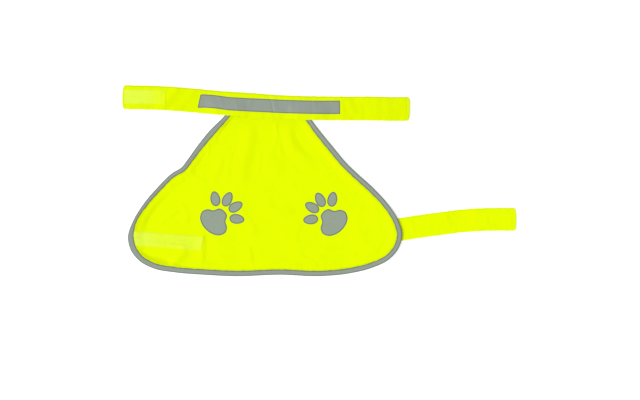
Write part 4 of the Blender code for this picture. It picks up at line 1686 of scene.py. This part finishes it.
class VEST_OT_paw_films(bpy.types.Operator):
    """Presses the film of both paw motifs on the panel"""

    bl_idname = "vest.paw_films"
    bl_label = "Paw films"

    def execute(self, context):
        sizes, colours = looks(context)
        material = reflective("bead_film", sizes, colours.film, roughness=0.36)
        disc = film_disc()
        pad = pad_outline()
        films = [("pad", pad, (0, 0, 0), np.ptp(pad, axis=0), PAD_AREA)]
        for number, (across, ahead, half_length, half_width, lean) in enumerate(TOES, 1):
            outline = toe_outline(half_length, half_width)
            area = math.pi * half_length * half_width * MILLIMETRE**2
            size = (2 * half_width, 2 * half_length)
            films.append((f"toe_{number}", outline, (across, ahead, lean), size, area))
        for paw, *place in PAWS:
            for film, outline, own_place, size, area in films:
                node = f"{paw}_{film}"
                piece = film_piece(f"{node}_film", disc, outline, own_place, place, material, sizes)
                dress(piece, "reflective_film", node)
        bpy.data.objects.remove(disc)
        return {"FINISHED"}


class VEST_OT_stitching(bpy.types.Operator):
    """Sews the pieces together with rows of small stitches"""

    bl_idname = "vest.stitching"
    bl_label = "Stitching"

    def execute(self, context):
        sizes, colours = looks(context)
        yellow = (sewing_thread("yellow_thread", colours), "hi_vis_cloth")
        grey = (sewing_thread("grey_thread", colours), "reflective_tape")
        tape = TRIM_LIFT + sizes.tape / MILLIMETRE - TRIM_DIP * SEAM_DIP
        half = sizes.binding / MILLIMETRE / 2
        upper, lower = BINDING_HIGH - UPPER_SINK + half, BINDING_LOW + 2 * LOWER_RISE - half
        binding = [EDGE[:, :2] + left_normals(EDGE) * (EDGE[:, 2:3] - BINDING_SEAM)]
        ends, long_seams = [], []
        for strip, start, short in ((BAND, *BAND_SEAM_ENDS), (STRAP, *STRAP_SEAM_ENDS)):
            end = length_of(strip.line) - strip.slant
            ends.append(end_seams(strip.line, end, strip.width))
            long_seams.append(beside(strip.line, start, end - short, BAND_SEAM - strip.width / 2))
        root = [crossing(STRAP.line, at, ROOT_SHARE * STRAP_WIDTH) for at in ROOT_SEAMS]
        for name, lines, surface, lift, (thread, slot) in (
            ("binding_stitches", binding, binding_rise, upper, grey),
            ("binding_back_stitches", binding, binding_lift, lower, grey),
            ("neck_strip_stitches", round_seam(neck_strip_plan()[0]), band_top, tape, grey),
            ("neck_loop_stitches", round_seam(neck_loop_plan()[0]), band_top, tape, yellow),
            ("flank_loop_stitches", round_seam(flank_loop_plan()[0]), panel_top, tape, yellow),
            ("neck_band_stitches", [long_seams[0], *ends[0]], band_top, 0.0, yellow),
            ("belly_strap_stitches", [long_seams[1], *ends[1]], strap_top, 0.0, yellow),
            ("strap_root_stitches", root, panel_top, 0.0, yellow),
        ):
            dress(sew(name, lines, surface, lift, thread, sizes, under="back" in name), slot)
        return {"FINISHED"}


class VEST_OT_stage(bpy.types.Operator):
    """Sets the pale floor, the soft light and the camera straight over the vest"""

    bl_idname = "vest.stage"
    bl_label = "Stage"

    def execute(self, context):
        colours, look = context.scene.vest_colours, context.scene.vest_stage
        bpy.ops.object.select_all(action="DESELECT")
        bpy.ops.mesh.primitive_plane_add(size=FLOOR_SIZE, location=(0, 0, -FLOOR_DROP))
        floor = context.active_object
        floor.name = "floor"
        bpy.ops.object.transform_apply(location=True, rotation=True, scale=True)
        white = (1.0, 1.0, 1.0, 1.0)
        material, tree, shader = new_material(
            "pale_floor", Specular_IOR_Level=0.1, Emission_Color=white, Emission_Strength=look.floor_glow
        )
        place = add_node(tree, "ShaderNodeTexCoord", {})["Object"]
        pale = mottled(tree, place, (*colours.floor, 1.0), patches=3.0, amount=0.004)
        rough = roughened(tree, pale["Patch"], more=0.05, least=0.85)
        link_looks(tree, shader, pale["Colour"], Roughness=rough)
        floor.data.materials.append(material)
        world = bpy.data.worlds.new("studio")
        world.use_nodes = True
        background = world.node_tree.nodes["Background"]
        plug(world.node_tree, background, {"Color": white, "Strength": look.ambient})
        context.scene.world = world
        context.scene.view_settings.view_transform = "Standard"
        bpy.ops.object.light_add(type="AREA", location=KEY_PLACE)
        key = context.active_object
        key.name = "key_light"
        key.data.energy = look.key
        key.data.shape = "DISK"
        key.data.size = KEY_SIZE
        key.rotation_euler = (-key.location).to_track_quat("-Z", "Y").to_euler()
        bpy.ops.object.camera_add(location=(*look.aim, look.height), rotation=(0, 0, 0))
        camera = context.active_object
        camera.name = "camera"
        camera.data.lens = look.lens
        camera.data.sensor_width = SENSOR
        context.scene.camera = camera
        return {"FINISHED"}


class VEST_PT_build(bpy.types.Panel):
    """Steps of the vest, with its sizes, colours and stage"""

    bl_idname = "VEST_PT_build"
    bl_label = "Dog safety vest"
    bl_space_type = "VIEW_3D"
    bl_region_type = "UI"
    bl_category = "Vest"

    def draw(self, context):
        column = self.layout.column(align=True)
        for step in STEPS:
            column.operator(step.bl_idname)
        for group in (context.scene.vest_sizes, context.scene.vest_colours, context.scene.vest_stage):
            box = self.layout.box()
            for name in group.__annotations__:
                box.prop(group, name)


STEPS = (
    VEST_OT_stage,
    VEST_OT_back_panel,
    VEST_OT_edge_binding,
    VEST_OT_neck_band,
    VEST_OT_belly_strap,
    VEST_OT_reflective_strip,
    VEST_OT_loop_tapes,
    VEST_OT_hook_tapes,
    VEST_OT_paw_films,
    VEST_OT_stitching,
)
CLASSES = (VestSizes, VestColours, StageLook, *STEPS, VEST_PT_build)


def register():
    """Registers the classes and the scene's settings."""
    for cls in CLASSES:
        bpy.utils.register_class(cls)
    bpy.types.Scene.vest_sizes = PointerProperty(type=VestSizes)
    bpy.types.Scene.vest_colours = PointerProperty(type=VestColours)
    bpy.types.Scene.vest_stage = PointerProperty(type=StageLook)


def unregister():
    """Takes the settings and the classes away again."""
    del bpy.types.Scene.vest_stage
    del bpy.types.Scene.vest_colours
    del bpy.types.Scene.vest_sizes
    for cls in reversed(CLASSES):
        bpy.utils.unregister_class(cls)


def main():
    """Builds the vest's looks step by step."""
    band_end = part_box("neck_band")[0][0] / MILLIMETRE - NECK_SEAM[0]
    if abs(band_end - BAND_LINE[0][0]) > SEAM_TOLERANCE:
        raise RuntimeError(f"the neck seam isn't where the frame has it: {band_end:.2f}")
    register()
    for step in STEPS:
        package, name = step.bl_idname.split(".")
        getattr(getattr(bpy.ops, package), name)()


if __name__ == "__main__":
    main()
